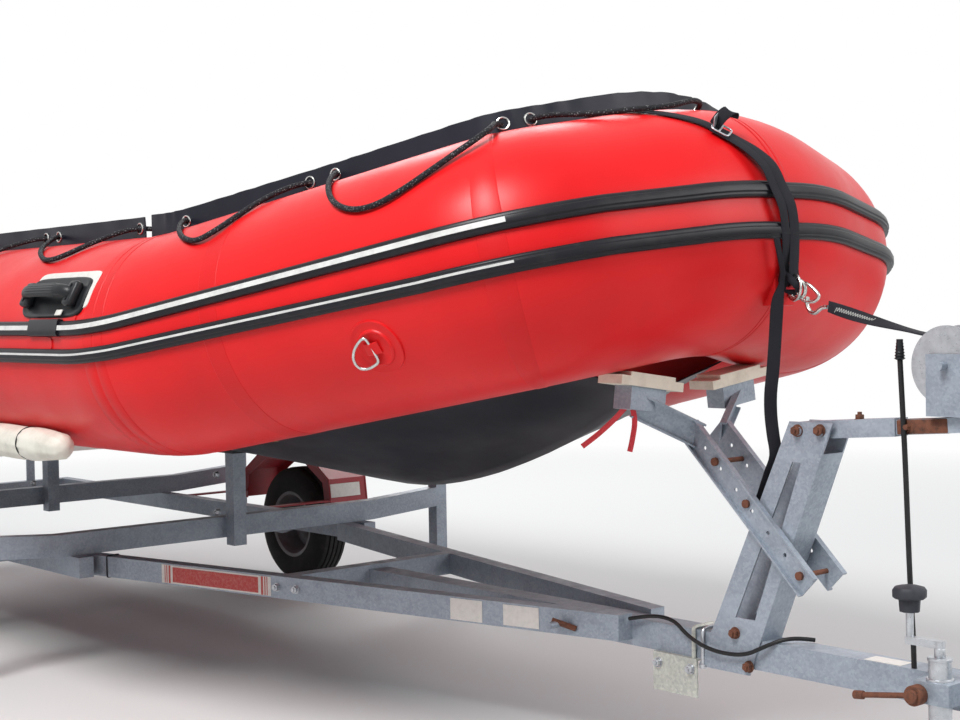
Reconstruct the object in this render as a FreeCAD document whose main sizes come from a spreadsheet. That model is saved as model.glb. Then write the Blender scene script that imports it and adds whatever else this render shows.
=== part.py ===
import FreeCAD, Part
import math
import os
import re
import Sketcher

# An inflatable boat on its road trailer. Millimetres; X forward to the bow, Y to port, Z up.
# The origin is on the ground under the middle of the whole outfit.

V = FreeCAD.Vector
doc = FreeCAD.newDocument("boat_on_trailer")
sheet = doc.addObject("Spreadsheet::Sheet", "Dims")

DIMENSIONS = {
    # side tubes: centre line stern, kink, shoulder, nose
    "tube_radius": 298,
    "tube_y": 750,
    "tube_z": 1067,
    "stern_x": -2350,
    "kink_x": 604,
    "shoulder_x": 1641,
    "shoulder_y": 470,
    "shoulder_z": 1262,
    "nose_x": 1783,
    "nose_z": 1342,
    "cone_length": 460,
    "cone_tip_radius": 110,
    # rubbing strakes
    "strake_height": 39,
    "strake_depth": 17,
    "strake_chamfer": 6,
    # flap of fabric along the top of the tubes
    "flap_thickness": 4,
    "flap_aft_height": 58,
    "flap_gap_start_x": 410,
    "flap_gap_end_x": 445,
    "flap_gap_height": 62,
    "flap_peak_height": 56,
    "flap_bow_height": 57,
    "grommet_hole_radius": 13,
    "grommet_height": 27,
    "lifeline_radius": 7,
    # fabric bottom, floor boards and transom
    "bottom_stern_x": -2128,
    "floor_top_z": 830,
    "floor_thickness": 30,
    "floor_front_x": 1120,
    "floor_front_half": 330,
    "transom_thickness": 42,
    "transom_half": 640,
    "transom_top_z": 1290,
    "transom_low_z": 735,
    "transom_dip_half": 210,
    "transom_dip_z": 1170,
    # carrying handles
    "handle_length": 250,
    "handle_angle": 27,
    "handle_bar_radius": 15,
    "handle_standoff": 42,
    "handle_patch_length": 330,
    "handle_patch_width": 120,
    "handle_patch_thickness": 7,
    "handle_forward_x": 395,
    "handle_aft_x": -1350,
    # towing rings beside the bow and the bow ring
    "ring_patch_radius": 70,
    "ring_patch_thickness": 6,
    "ring_wire_radius": 4,
    "ring_along": 835,
    "ring_angle": -32,
    "bow_ring_z": 1185,
    "bow_ring_radius": 22,
    "bow_plate_width": 70,
    "bow_plate_thickness": 8,
    # drawbar and the beams that run out from it
    "drawbar_width": 70,
    "drawbar_top_z": 364,
    "drawbar_rear_x": 450,
    "drawbar_front_x": 2640,
    "beam_width": 50,
    "beam_height": 66,
    "beam_low_z": 310,
    "slant_rear_x": -450,
    "slant_rear_y": 543,
    "slant_front_x": 1560,
    "brace_x": 430,
    "brace_width": 50,
    "rail_inner_y": 545,
    "rail_rear_x": -2790,
    "rail_front_x": -350,
    # cross beams with raised wings
    "cross_front_x": -463,
    "cross_rear_x": -1895,
    "cross_depth": 50,
    "cross_height": 72,
    "cross_kink_y": 633,
    "wing_rise": 22,
    # uprights and what they carry
    "bunk_post_y": 965,
    "bunk_post_width": 50,
    "bunk_post_low_z": 220,
    "bunk_radius": 48,
    "bunk_rear_x": -2200,
    "bunk_front_x": 335,
    "keel_post_y": 20,
    "keel_post_width": 50,
    "keel_pad_length": 180,
    "keel_pad_width": 90,
    "keel_pad_height": 38,
    "contact_gap": 0.3,
    # tail beam and lamp board
    "tail_depth": 50,
    "lamp_board_half": 800,
    "lamp_board_thickness": 18,
    "lamp_board_low_z": 500,
    "lamp_board_height": 150,
    "lamp_width": 190,
    "lamp_height": 110,
    "lamp_depth": 30,
    "lamp_face_x": -2880,
    # axle, wheels and guards
    "axle_x": -1370,
    "axle_beam_x": -1230,
    "axle_beam_size": 50,
    "axle_beam_half": 850,
    "arm_thickness": 20,
    "wheel_radius": 245,
    "wheel_y": 976,
    "tyre_half_width": 72.5,
    "tread_half_width": 52,
    "bead_radius": 127,
    "bead_half_width": 54,
    "flange_radius": 143,
    "rim_wall": 4,
    "hub_radius": 42,
    "stub_radius": 17,
    "stub_clearance": 0.5,
    "guard_inner_y": 880,
    "guard_outer_y": 1070,
    "guard_sheet": 3,
    "guard_cheek": 42,
    "guard_top_z": 565,
    "guard_top_half": 165,
    "guard_shoulder_z": 462,
    "guard_shoulder_half": 322,
    "guard_foot_z": 340,
    "guard_foot_half": 338,
    "guard_bracket_width": 34,
    "guard_bracket_thickness": 6,
    # winch post, a folded channel astride the drawbar
    "plate": 5,
    "post_foot_z": 278,
    "post_top_z": 883,
    "post_foot_rear_x": 1786,
    "post_foot_front_x": 1942,
    "post_top_rear_x": 2068,
    "post_top_front_x": 2188,
    "slot_top_z": 790,
    "slot_top_rear_x": 2075,
    "slot_top_front_x": 2100,
    "slot_low_z": 411,
    "slot_low_rear_x": 1902,
    "slot_low_front_x": 1961,
    "post_mouth_z": 812,
    "bolt_radius": 6,
    "bolt_head_radius": 10,
    "bolt_head_height": 7,
    # winch arm, frame, drum and strap
    "winch_arm_height": 40,
    "winch_arm_width": 50,
    "winch_arm_rear_x": 2085,
    "winch_arm_front_x": 2340,
    "winch_tube_height": 32,
    "winch_tube_front_x": 2520,
    "winch_arm_drop_z": 822,
    "winch_arm_slope": 0.07,
    "winch_x": 2473,
    "winch_z": 1015,
    "winch_flange_radius": 85,
    "winch_half_width": 32,
    "winch_wall": 3,
    "winch_frame_width": 90,
    # snub arms and their pads under the bow
    "snub_width": 63,
    "snub_lip": 16,
    "snub_low_x": 2103,
    "snub_low_z": 534,
    "snub_bend_x": 1789,
    "snub_bend_z": 843,
    "snub_side_y": 46,
    "snub_pad_length": 215,
    "snub_pad_width": 78,
    "snub_pad_height": 32,
    "snub_pad_x": 1722,
    "snub_pad_y": 158,
    "snub_pad_slope": 8,
    "snub_rod_mid_x": 1950,
    "snub_rod_mid_z": 686,
    "snub_rod_top_x": 1857,
    "snub_rod_top_z": 779,
    # straps
    "winch_strap_width": 48,
    "strap_thickness": 4,
    "link_length": 48,
    "wound_radius": 52,
    "drum_core_radius": 20,
    "tie_strap_width": 45,
    # peg on the starboard slanting beam
    "peg_x": 1400,
    "peg_z": 340,
    # drop bracket under the drawbar
    "drop_rear_x": 1642,
    "drop_front_x": 1785,
    "drop_low_z": 199,
    "hoop_radius": 5,
    # coupling head
    "coupling_nose_x": 2880,
    "ball_radius": 25,
    "ball_clearance": 0.5,
    "coupling_mouth_length": 15,
    "coupling_radius": 36,
    "coupling_skirt": 20,
    # jack and jockey wheel
    "jack_x": 2490,
    "jack_y": -90,
    "jack_radius": 24,
    "jack_wall": 3.5,
    "jack_low_z": 215,
    "jack_top_z": 409,
    "clamp_low_z": 320,
    "clamp_height": 46,
    "leg_radius": 19.5,
    "jockey_radius": 80,
    "jockey_half_width": 25,
    "jockey_x": 2440,
    "fork_plate": 4,
    "fork_top_z": 185,
    "fork_gap": 8,
    "jockey_axle_radius": 8,
    "knob_x": 2418,
    "crank_z": 440,
}

for row, (alias, number) in enumerate(DIMENSIONS.items(), start=1):
    sheet.set("A%d" % row, alias)
    sheet.set("B%d" % row, str(number))
    sheet.setAlias("B%d" % row, alias)
doc.recompute()

nodes = {}


def mm(alias):
    """One size, read from the sheet."""
    return float(sheet.get(alias))


def cells(text):
    """An expression in which each alias points at its cell of the sheet."""
    return re.sub(r"[a-z][a-z_0-9]*", lambda word: "Dims." + word.group() if word.group() in DIMENSIONS else word.group(), text)


def bind(thing, prop, text):
    thing.setExpression(prop, cells(text))


def place(thing, at):
    for axis, text in zip("xyz", at):
        bind(thing, "Placement.Base." + axis, text)


def node(name, thing):
    """Names a finished sub-part."""
    thing.Label = name
    nodes[name] = thing
    return thing


def block(name, at, size):
    """A box from its low corner and its three sizes, all as expressions."""
    thing = doc.addObject("Part::Box", name)
    for prop, text in zip(("Length", "Width", "Height"), size):
        bind(thing, prop, text)
    place(thing, at)
    return thing


def rod(name, at, radius, length, direction="Z"):
    """A round bar that starts at a point and runs along one axis."""
    thing = doc.addObject("Part::Cylinder", name)
    bind(thing, "Radius", radius)
    bind(thing, "Height", length)
    turns = {"Z": (V(0, 0, 1), 0), "X": (V(0, 1, 0), 90), "Y": (V(1, 0, 0), -90)}
    thing.Placement.Rotation = FreeCAD.Rotation(*turns[direction])
    place(thing, at)
    return thing


def fuse(name, things):
    thing = doc.addObject("Part::MultiFuse", name)
    thing.Shapes = things
    thing.Refine = True
    return thing


def cut(name, base, tool):
    thing = doc.addObject("Part::Cut", name)
    thing.Base = base
    thing.Tool = tool
    return thing


def feature(name, shape):
    thing = doc.addObject("Part::Feature", name)
    thing.Shape = shape
    return thing


def new_body(name, at=("0", "0", "0")):
    body = doc.addObject("PartDesign::Body", name)
    place(body, at)
    return body


def outline(body, plane, corners):
    """A closed outline of straight sides; every corner is bound to the sheet."""
    sketch = body.newObject("Sketcher::SketchObject", "outline")
    base = [item for item in body.Origin.OriginFeatures if item.Role == plane][0]
    sketch.AttachmentSupport = (base, [""])
    sketch.MapMode = "FlatFace"
    count = len(corners)
    start = [V(*(float(sketch.evalExpression(cells(text))) for text in corner), 0) for corner in corners]
    for i in range(count):
        sketch.addGeometry(Part.LineSegment(start[i], start[(i + 1) % count]), False)
    for i in range(count):
        sketch.addConstraint(Sketcher.Constraint("Coincident", i, 2, (i + 1) % count, 1))
    for i, corner in enumerate(corners):
        for kind, text, now in zip(("DistanceX", "DistanceY"), corner, (start[i].x, start[i].y)):
            number = sketch.addConstraint(Sketcher.Constraint(kind, -1, 1, i, 1, now))
            bind(sketch, "Constraints[%d]" % number, text)
    return sketch


def pad(body, plane, corners, length, reach="0", middle=True):
    """Pads an outline, both ways from the plane or one way from an offset along its normal."""
    sketch = outline(body, plane, corners)
    if reach != "0":
        bind(sketch, ".AttachmentOffset.Base.z", reach)
    thing = body.newObject("PartDesign::Pad", "pad")
    thing.Profile = sketch
    bind(thing, "Length", length)
    if middle:
        thing.SideType = "Symmetric"
    return thing


def pocket(body, plane, corners, length):
    """Cuts an outline out of a body, both ways from the plane."""
    sketch = outline(body, plane, corners)
    thing = body.newObject("PartDesign::Pocket", "pocket")
    thing.Profile = sketch
    bind(thing, "Length", length)
    thing.SideType = "Symmetric"
    return thing


def spun(body, corners):
    """Revolves an outline in the YZ plane about the Y axis."""
    sketch = outline(body, "YZ_Plane", corners)
    thing = body.newObject("PartDesign::Revolution", "revolution")
    thing.Profile = sketch
    thing.ReferenceAxis = (sketch, ["H_Axis"])
    thing.Angle = 360
    return thing


def mirrored(shape):
    """The same shape on the other side of the boat."""
    return shape.mirror(V(0, 0, 0), V(0, 1, 0))


# Tubes

SIDES = (("starboard", -1), ("port", 1))
REACH = 2 * mm("tube_radius")


def half_space(point, normal):
    """A large block on the side of a plane that its normal points to."""
    width = 20 * mm("tube_radius")
    slab = Part.makeBox(width, width, width, V(-width / 2, -width / 2, 0))
    slab.Placement = FreeCAD.Placement(point, FreeCAD.Rotation(V(0, 0, 1), normal))
    return slab


def tube_points():
    """Centre line of the starboard tube, from the stern to the nose."""
    side = -1
    return [
        V(mm("stern_x"), side * mm("tube_y"), mm("tube_z")),
        V(mm("kink_x"), side * mm("tube_y"), mm("tube_z")),
        V(mm("shoulder_x"), side * mm("shoulder_y"), mm("shoulder_z")),
        V(mm("nose_x"), 0, mm("nose_z")),
    ]


class Run:
    """One straight run of the tube, with the directions that point out of it and up from it."""

    def __init__(self, start, end, first_plane, last_plane, out):
        self.start = start
        self.end = end
        self.axis = (end - start).normalize()
        self.length = start.distanceToPoint(end)
        self.first_plane = first_plane
        self.last_plane = last_plane
        self.out = out
        self.up = out.cross(self.axis)

    def radial(self, angle):
        """Unit direction from the axis; 0 degrees is outboard, 90 is up."""
        turn = math.radians(angle)
        return self.out * math.cos(turn) + self.up * math.sin(turn)

    def at(self, along, angle, radius):
        """A point in the run's own round coordinates."""
        return self.start + self.axis * along + self.radial(angle) * radius

    def trim(self, shape):
        """Cuts a shape off at the mitre planes of both ends."""
        shape = shape.common(half_space(self.start, self.first_plane))
        return shape.common(half_space(self.end, self.last_plane * -1))

    def cylinder(self, radius):
        base = self.start - self.axis * REACH
        return Part.makeCylinder(radius, self.length + 2 * REACH, base, self.axis)


def tube_runs():
    points = tube_points()
    axes = [(b - a).normalize() for a, b in zip(points, points[1:])]
    planes = [axes[0], (axes[0] + axes[1]).normalize(), (axes[1] + axes[2]).normalize(), V(0, 1, 0)]
    out = V(0, -1, 0)
    runs = []
    for i, axis in enumerate(axes):
        if i:
            out = FreeCAD.Rotation(axes[i - 1], axis).multVec(out)
        runs.append(Run(points[i], points[i + 1], planes[i], planes[i + 1], out))
    return runs


RUNS = tube_runs()
AFT, FORWARD, BOW = RUNS
TUBE = mm("tube_radius")


def joined(shapes):
    whole = shapes[0]
    for shape in shapes[1:]:
        whole = whole.fuse(shape)
    return whole.removeSplitter()


def side_tube():
    """Stern cone, long straight run and the run that climbs to the shoulder."""
    length = mm("cone_length")
    tip = AFT.start - AFT.axis * length
    cone = Part.makeCone(mm("cone_tip_radius"), TUBE, length, tip, AFT.axis)
    return joined([cone, AFT.trim(AFT.cylinder(TUBE)), FORWARD.trim(FORWARD.cylinder(TUBE))])


def bow_tube():
    half = BOW.trim(BOW.cylinder(TUBE))
    return joined([half, mirrored(half)])


side_shape = side_tube()
bow_shape = bow_tube()
node("tube_starboard", feature("tube_starboard", side_shape))
node("tube_port", feature("tube_port", mirrored(side_shape)))
node("tube_bow", feature("tube_bow", bow_shape))
all_tubes = [side_shape, mirrored(side_shape), bow_shape]


def without_tubes(shape):
    return shape.cut(all_tubes)


# Strakes: two solid rubber strips glued along the outside of the tubes

def strip_profile(depth, height, chamfer):
    """Corners of a strake's section as (radius, offset round the tube)."""
    half = height / 2
    inner = TUBE - depth
    outer = TUBE + depth
    return [(inner, -half), (outer - chamfer, -half), (outer, chamfer - half),
            (outer, half - chamfer), (outer - chamfer, half), (inner, half)]


STRAKES = {
    # angle round the tube at the stern, the kink, the shoulder and the nose
    "strake_upper": (11, 10, 8, 3),
    "strake_lower": (-3, -4, -10, -15),
}


def on_plane(run, corner, point, normal):
    """Slides a corner along a run until it lies in a mitre plane."""
    return corner + run.axis * ((point - corner).dot(normal) / run.axis.dot(normal))


def strake(angles):
    profile = strip_profile(mm("strake_depth"), mm("strake_height"), mm("strake_chamfer"))
    pieces = []
    for run, first, last in zip(RUNS, angles, angles[1:]):
        sections = []
        for angle, point, normal in ((first, run.start, run.first_plane), (last, run.end, run.last_plane)):
            across = run.radial(angle + 90)
            corners = [point + run.radial(angle) * radius + across * offset for radius, offset in profile]
            corners = [on_plane(run, corner, point, normal) for corner in corners]
            sections.append(Part.makePolygon(corners + corners[:1]))
        pieces.append(Part.makeLoft(sections, True, True).cut(run.cylinder(TUBE)))
    half = joined(pieces)
    return joined([half, mirrored(half)])


for strake_name, strake_angles in STRAKES.items():
    node(strake_name, feature(strake_name, strake(strake_angles)))


# Flap: a strip of fabric that stands on the top of the tubes, with holes for the lifeline

FLAP_HOLES = {
    # distances from the start of each run
    "aft": (60, 419, 503, 996, 1080, 1573, 1657, 2150, 2234, 2732),
    "forward": (57, 510, 594),
    "bow": (30, 114),
}
# both lifelines end in these two, on the port side of the bow
END_HOLES = (310, 397)


def flap_piece(run, first, last, first_height, last_height):
    """A flat strip between two distances along a run."""
    sunk = -mm("flap_thickness")
    across = run.radial(0) * mm("flap_thickness")
    corners = [run.at(first, 90, TUBE + sunk), run.at(last, 90, TUBE + sunk),
               run.at(last, 90, TUBE + last_height), run.at(first, 90, TUBE + first_height)]
    corners = [corner - across * 0.5 for corner in corners]
    strip = Part.Face(Part.makePolygon(corners + corners[:1])).extrude(across)
    return strip.cut(run.cylinder(TUBE))


def eight_sided(centre, across, up, radius):
    """Outline of a hole, eight-sided about a circle of that radius."""
    reach = radius / math.cos(math.pi / 8)
    angles = [math.pi / 8 + math.pi / 4 * i for i in range(8)]
    corners = [centre + across * (reach * math.cos(a)) + up * (reach * math.sin(a)) for a in angles]
    return Part.makePolygon(corners + corners[:1])


def flap_holes(run, places):
    """Holes across the flap."""
    depth = 10 * mm("flap_thickness")
    tools = []
    for along in places:
        centre = run.at(along, 90, TUBE + mm("grommet_height")) - run.radial(0) * (depth / 2)
        edge = eight_sided(centre, run.axis, run.radial(90), mm("grommet_hole_radius"))
        tools.append(Part.Face(edge).extrude(run.radial(0) * depth))
    return tools


def flap_aft():
    low = mm("flap_aft_height")
    start = mm("flap_gap_start_x") - AFT.start.x
    return flap_piece(AFT, 0, start, low, low).cut(flap_holes(AFT, FLAP_HOLES["aft"]))


def flap_forward():
    gap_end = mm("flap_gap_end_x") - AFT.start.x
    mid = mm("flap_gap_height")
    peak = mm("flap_peak_height")
    bow = mm("flap_bow_height")
    first = flap_piece(AFT, gap_end, AFT.length + REACH, mid, mid)
    peak_along = 0.58 * FORWARD.length
    second = joined([flap_piece(FORWARD, -REACH, peak_along, mid, peak),
                     flap_piece(FORWARD, peak_along, FORWARD.length + REACH, peak, bow)])
    third = flap_piece(BOW, -REACH, BOW.length + REACH, bow, bow)
    first = first.common(half_space(AFT.end, AFT.last_plane * -1))
    half = joined([first, FORWARD.trim(second), BOW.trim(third)])
    half = half.cut(flap_holes(FORWARD, FLAP_HOLES["forward"]) + flap_holes(BOW, FLAP_HOLES["bow"]))
    end_holes = [mirrored(tool) for tool in flap_holes(BOW, END_HOLES)]
    return joined([half, mirrored(half).cut(end_holes)])


aft_flap = flap_aft()
node("flap_aft", feature("flap_aft", Part.makeCompound([aft_flap, mirrored(aft_flap)])))
node("flap_forward", feature("flap_forward", flap_forward()))


# Fabric bottom: a shallow keel between the tubes; height of the keel line, edges on the tubes

KEEL_LINE = (
    # x, keel z, half width, edge z
    (-2128, 755, 600, 800),
    (-900, 745, 600, 800),
    (-400, 725, 600, 800),
    (380, 645, 600, 800),
    (690, 633, 590, 815),
    (930, 670, 560, 860),
    (1140, 731, 510, 900),
    (1310, 795, 455, 935),
    (1470, 870, 380, 975),
    (1600, 955, 270, 1020),
)
FLOOR_LOW = mm("floor_top_z") - mm("floor_thickness")


def keel_z(x):
    """Height of the keel line, straight between the stations."""
    for first, second in zip(KEEL_LINE, KEEL_LINE[1:]):
        if x <= second[0]:
            share = (x - first[0]) / (second[0] - first[0])
            return first[1] + share * (second[1] - first[1])
    return KEEL_LINE[-1][1]


def hull_block():
    """Everything between the keel's two slopes, as one block."""
    sections = []
    for x, keel, half, edge in KEEL_LINE:
        top = max(FLOOR_LOW, edge + 40)
        corners = [V(x, 0, keel), V(x, -half, edge), V(x, -half, top), V(x, half, top), V(x, half, edge)]
        sections.append(Part.makePolygon(corners + corners[:1]))
    return Part.makeLoft(sections, True, True)


def bottom():
    above = Part.makeBox(6 * REACH, 4 * REACH, REACH, V(-4 * REACH, -2 * REACH, FLOOR_LOW))
    flat = hull_block().cut(above.common(half_space(V(mm("floor_front_x"), 0, 0), V(-1, 0, 0))))
    return biggest(without_tubes(flat))


def biggest(shape):
    return max(shape.Solids, key=lambda solid: solid.Volume)


bottom_shape = bottom()
node("hull_bottom", feature("hull_bottom", bottom_shape))


def floor_board():
    rear = mm("bottom_stern_x")
    front = mm("floor_front_x")
    half = mm("transom_half")
    nose = mm("floor_front_half")
    knee = mm("kink_x")
    corners = [V(rear, -half, FLOOR_LOW), V(knee, -half, FLOOR_LOW), V(front, -nose, FLOOR_LOW),
               V(front, nose, FLOOR_LOW), V(knee, half, FLOOR_LOW), V(rear, half, FLOOR_LOW)]
    board = Part.Face(Part.makePolygon(corners + corners[:1])).extrude(V(0, 0, mm("floor_thickness")))
    return biggest(without_tubes(board.common(hull_block())).cut(bottom_shape))


def transom():
    front = mm("bottom_stern_x")
    half = mm("transom_half")
    low = mm("transom_low_z")
    top = mm("transom_top_z")
    dip = mm("transom_dip_half")
    corners = [V(front, 0, low), V(front, -half, low + 60), V(front, -half, top), V(front, -dip - 60, top),
               V(front, -dip, mm("transom_dip_z")), V(front, dip, mm("transom_dip_z")),
               V(front, dip + 60, top), V(front, half, top), V(front, half, low + 60)]
    board = Part.Face(Part.makePolygon(corners + corners[:1])).extrude(V(-mm("transom_thickness"), 0, 0))
    return biggest(without_tubes(board))


node("floor", feature("floor", floor_board()))
node("transom", feature("transom", transom()))


# Bars bent round arcs, and cords laid along straight runs with tangent arcs

def rounded_wire(points, radii):
    """Straight runs joined by tangent arcs; one radius for each inner point."""
    edges = []
    here = points[0]
    for before, corner, after, radius in zip(points, points[1:], points[2:], radii):
        back = (before - corner).normalize()
        ahead = (after - corner).normalize()
        turn = math.pi - back.getAngle(ahead)
        reach = radius * math.tan(turn / 2)
        first = corner + back * reach
        last = corner + ahead * reach
        inward = (back + ahead).normalize()
        middle = corner + inward * (radius / math.cos(turn / 2) - radius)
        if here.distanceToPoint(first) > 0.001:
            edges.append(Part.LineSegment(here, first).toShape())
        edges.append(Part.Arc(first, middle, last).toShape())
        here = last
    edges.append(Part.LineSegment(here, points[-1]).toShape())
    return Part.Wire(edges)


def hexagon(centre, direction, radius):
    """Six-sided outline across a direction, with the area of a round bar of that radius."""
    reach = radius * math.sqrt(2 * math.pi / (3 * math.sqrt(3)))
    turn = FreeCAD.Rotation(V(0, 0, 1), direction)
    angles = [math.radians(60 * i) for i in range(6)]
    corners = [centre + turn.multVec(V(math.cos(a), math.sin(a), 0)) * reach for a in angles]
    return Part.makePolygon(corners + corners[:1])


def swept(wire, start, direction, radius):
    return wire.makePipeShell([hexagon(start, direction, radius)], True, False)


def bent_bar(points, bend, radius):
    """Round bar bent to one radius at each inner point."""
    wire = rounded_wire(points, [bend] * (len(points) - 2))
    return swept(wire, points[0], points[1] - points[0], radius)


def cord_tube(name, points, radius):
    """Cord along its route: each arc is as large as the runs beside it allow."""
    radii = []
    for before, corner, after in zip(points, points[1:], points[2:]):
        turn = math.pi - (before - corner).getAngle(after - corner)
        shorter = min(before.distanceToPoint(corner), corner.distanceToPoint(after))
        radii.append(0.45 * shorter / math.tan(turn / 2))
    wire = rounded_wire(points, radii)
    tube = swept(wire, points[0], points[1] - points[0], radius)
    print("%s: length %.0f, radii %s, volume over section times length %.4f" % (
        name, wire.Length, [round(r) for r in radii], tube.Volume / (math.pi * radius ** 2 * wire.Length)))
    return tube


# Fittings glued to the tubes

def tube_patch(run, along, angle, length, width, thickness):
    """A patch that lies on the tube: a block cut to a thin shell round the axis."""
    centre = run.at(along, angle, TUBE)
    slab = Part.makeBox(length, width, TUBE, V(-length / 2, -width / 2, -TUBE / 2))
    turn = FreeCAD.Rotation(run.axis, run.radial(angle + 90), run.radial(angle), "XZY")
    slab.Placement = FreeCAD.Placement(centre, turn)
    shell = run.cylinder(TUBE + thickness).cut(run.cylinder(TUBE))
    return slab.common(shell)


def handle(run, along):
    """Moulded grip: a patch on the tube, two feet and a round bar with a gap for the fingers."""
    angle = mm("handle_angle")
    half = mm("handle_length") / 2
    radius = mm("handle_bar_radius")
    lift = TUBE + mm("handle_standoff")
    parts = [tube_patch(run, along, angle, mm("handle_patch_length"), mm("handle_patch_width"),
                        mm("handle_patch_thickness"))]
    first = run.at(along - half, angle, lift)
    parts.append(Part.makeCylinder(radius, 2 * half, first, run.axis))
    for place_along in (along - half, along + half - 3 * radius):
        foot = Part.makeBox(3 * radius, 4 * radius, mm("handle_standoff") + radius)
        turn = FreeCAD.Rotation(run.axis, run.radial(angle + 90), run.radial(angle), "XZY")
        corner = run.at(place_along, angle, TUBE - radius) - run.radial(angle + 90) * (2 * radius)
        foot.Placement = FreeCAD.Placement(corner, turn)
        parts.append(foot.cut(run.cylinder(TUBE)))
    return joined(parts)


def handle_pair():
    places = [mm("handle_forward_x") - AFT.start.x, mm("handle_aft_x") - AFT.start.x]
    return Part.makeCompound([handle(AFT, along) for along in places])


pair = handle_pair()
node("handles_starboard", feature("handles_starboard", pair))
node("handles_port", feature("handles_port", mirrored(pair)))


def steel_ring(centre, normal, radius, wire):
    """Ring of round bar about a centre."""
    side = normal.cross(V(0, 0, 1)).normalize()
    section = Part.Face(hexagon(centre + side * radius, normal.cross(side), wire))
    return section.revolve(centre, normal, 360)


def towing_ring():
    """Round patch with a welt and a steel ring that hangs flat against it."""
    run = FORWARD
    along = mm("ring_along")
    angle = mm("ring_angle")
    thick = mm("ring_patch_thickness")
    radius = mm("ring_patch_radius")
    centre = run.at(along, angle, TUBE)
    shell = run.cylinder(TUBE + thick).cut(run.cylinder(TUBE))
    disc = Part.makeCylinder(radius, TUBE, centre - run.radial(angle) * (TUBE / 2), run.radial(angle)).common(shell)
    wire = mm("ring_wire_radius")
    ring_centre = run.at(along, angle, TUBE + thick + wire)
    ring = steel_ring(ring_centre, run.radial(angle), 6 * wire, wire)
    return joined([disc, ring])


ring_shape = towing_ring()
node("towing_rings", feature("towing_rings", Part.makeCompound([ring_shape, mirrored(ring_shape)])))


def bow_front_x(z, gap):
    """Where the front of the bow tube is, on the middle plane at a height."""
    rise = z - mm("nose_z")
    lean = BOW.axis
    # the tube's section in the middle plane is an ellipse about the nose point
    flat = math.hypot(lean.x, lean.z)
    axis_x = lean.x / flat
    axis_z = lean.z / flat
    long_half = (TUBE + gap) / math.sqrt(1 - flat ** 2)
    short_half = TUBE + gap
    low, high = 0.0, 2 * long_half
    for _ in range(60):
        middle = (low + high) / 2
        along = middle * axis_x + rise * axis_z
        side = -middle * axis_z + rise * axis_x
        inside = (along / long_half) ** 2 + (side / short_half) ** 2 < 1
        low, high = (middle, high) if inside else (low, middle)
    return mm("nose_x") + low


def bow_ring():
    """Plate on the stem below the lower strake, with a forged eye."""
    z = mm("bow_ring_z")
    width = mm("bow_plate_width")
    thick = mm("bow_plate_thickness")
    face = bow_front_x(z, 0)
    plate = Part.makeBox(TUBE / 2, width, width, V(face - TUBE / 2, -width / 2, z - width / 2))
    grown = joined([BOW.trim(BOW.cylinder(TUBE + thick)), mirrored(BOW.trim(BOW.cylinder(TUBE + thick)))])
    plate = without_tubes(plate.common(grown))
    eye_x = bow_front_x(z, thick) + 0.6 * mm("bow_ring_radius")
    eye = steel_ring(V(eye_x, 0, z), V(0, 1, 0), mm("bow_ring_radius"), 1.5 * mm("ring_wire_radius"))
    return joined([biggest(plate), without_tubes(eye)])


node("bow_ring", feature("bow_ring", bow_ring()))

# Trailer frame

node("drawbar", block("drawbar", ("drawbar_rear_x", "-drawbar_width / 2", "drawbar_top_z - drawbar_width"),
                      ("drawbar_front_x - drawbar_rear_x", "drawbar_width", "drawbar_width")))


def slant_beam(name, side):
    """Beam that runs inwards from the side rail to the flank of the drawbar."""
    body = new_body(name)
    front = "(drawbar_width / 2 + beam_width)"
    corners = [("slant_rear_x", "%d * slant_rear_y" % side),
               ("slant_front_x", "%d * %s" % (side, front)),
               ("slant_front_x", "%d * drawbar_width / 2" % side),
               ("slant_rear_x", "%d * (slant_rear_y - beam_width)" % side)]
    pad(body, "XY_Plane", corners, "beam_height", "beam_low_z", middle=False)
    return body


for side_name, side in SIDES:
    node("slant_beam_" + side_name, slant_beam("slant_beam_" + side_name, side))
    low_y = "rail_inner_y" if side > 0 else "-rail_inner_y - beam_width"
    rail = block("side_rail_" + side_name, ("rail_rear_x", low_y, "beam_low_z"),
                 ("rail_front_x - rail_rear_x", "beam_width", "beam_height"))
    node("side_rail_" + side_name, rail)


def brace():
    """Short beam between the two slanting beams, across the rear end of the drawbar."""
    body = new_body("frame_brace")
    share = "(%s - slant_rear_x) / (slant_front_x - slant_rear_x)"
    wide = "((slant_rear_y - beam_width) - ((slant_rear_y - beam_width) - drawbar_width / 2) * %s)"
    rear = wide % (share % "(drawbar_rear_x - brace_width)")
    front = wide % (share % "drawbar_rear_x")
    corners = [("drawbar_rear_x - brace_width", "-" + rear), ("drawbar_rear_x", "-" + front),
               ("drawbar_rear_x", front), ("drawbar_rear_x - brace_width", rear)]
    pad(body, "XY_Plane", corners, "beam_height", "beam_low_z", middle=False)
    return body


node("frame_brace", brace())


def cross_beam(name, rear_x):
    """Beam across the trailer whose ends rise outside a kink."""
    body = new_body(name, (rear_x + " + cross_depth / 2", "0", "beam_low_z + beam_height"))
    tip = "(bunk_post_y - bunk_post_width / 2)"
    corners = [("-" + tip, "wing_rise"), ("-cross_kink_y", "0"), ("cross_kink_y", "0"), (tip, "wing_rise"),
               (tip, "wing_rise + cross_height"), ("cross_kink_y", "cross_height"),
               ("-cross_kink_y", "cross_height"), ("-" + tip, "wing_rise + cross_height")]
    pad(body, "YZ_Plane", corners, "cross_depth")
    return body


node("cross_beam_front", cross_beam("cross_beam_front", "cross_front_x"))
node("cross_beam_rear", cross_beam("cross_beam_rear", "cross_rear_x"))

# Bunks and their posts

bunk_drop = "sqrt((tube_radius + bunk_radius + contact_gap)^2 - (bunk_post_y - tube_y)^2)"
BUNK_Z = "(tube_z - %s)" % bunk_drop

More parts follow.
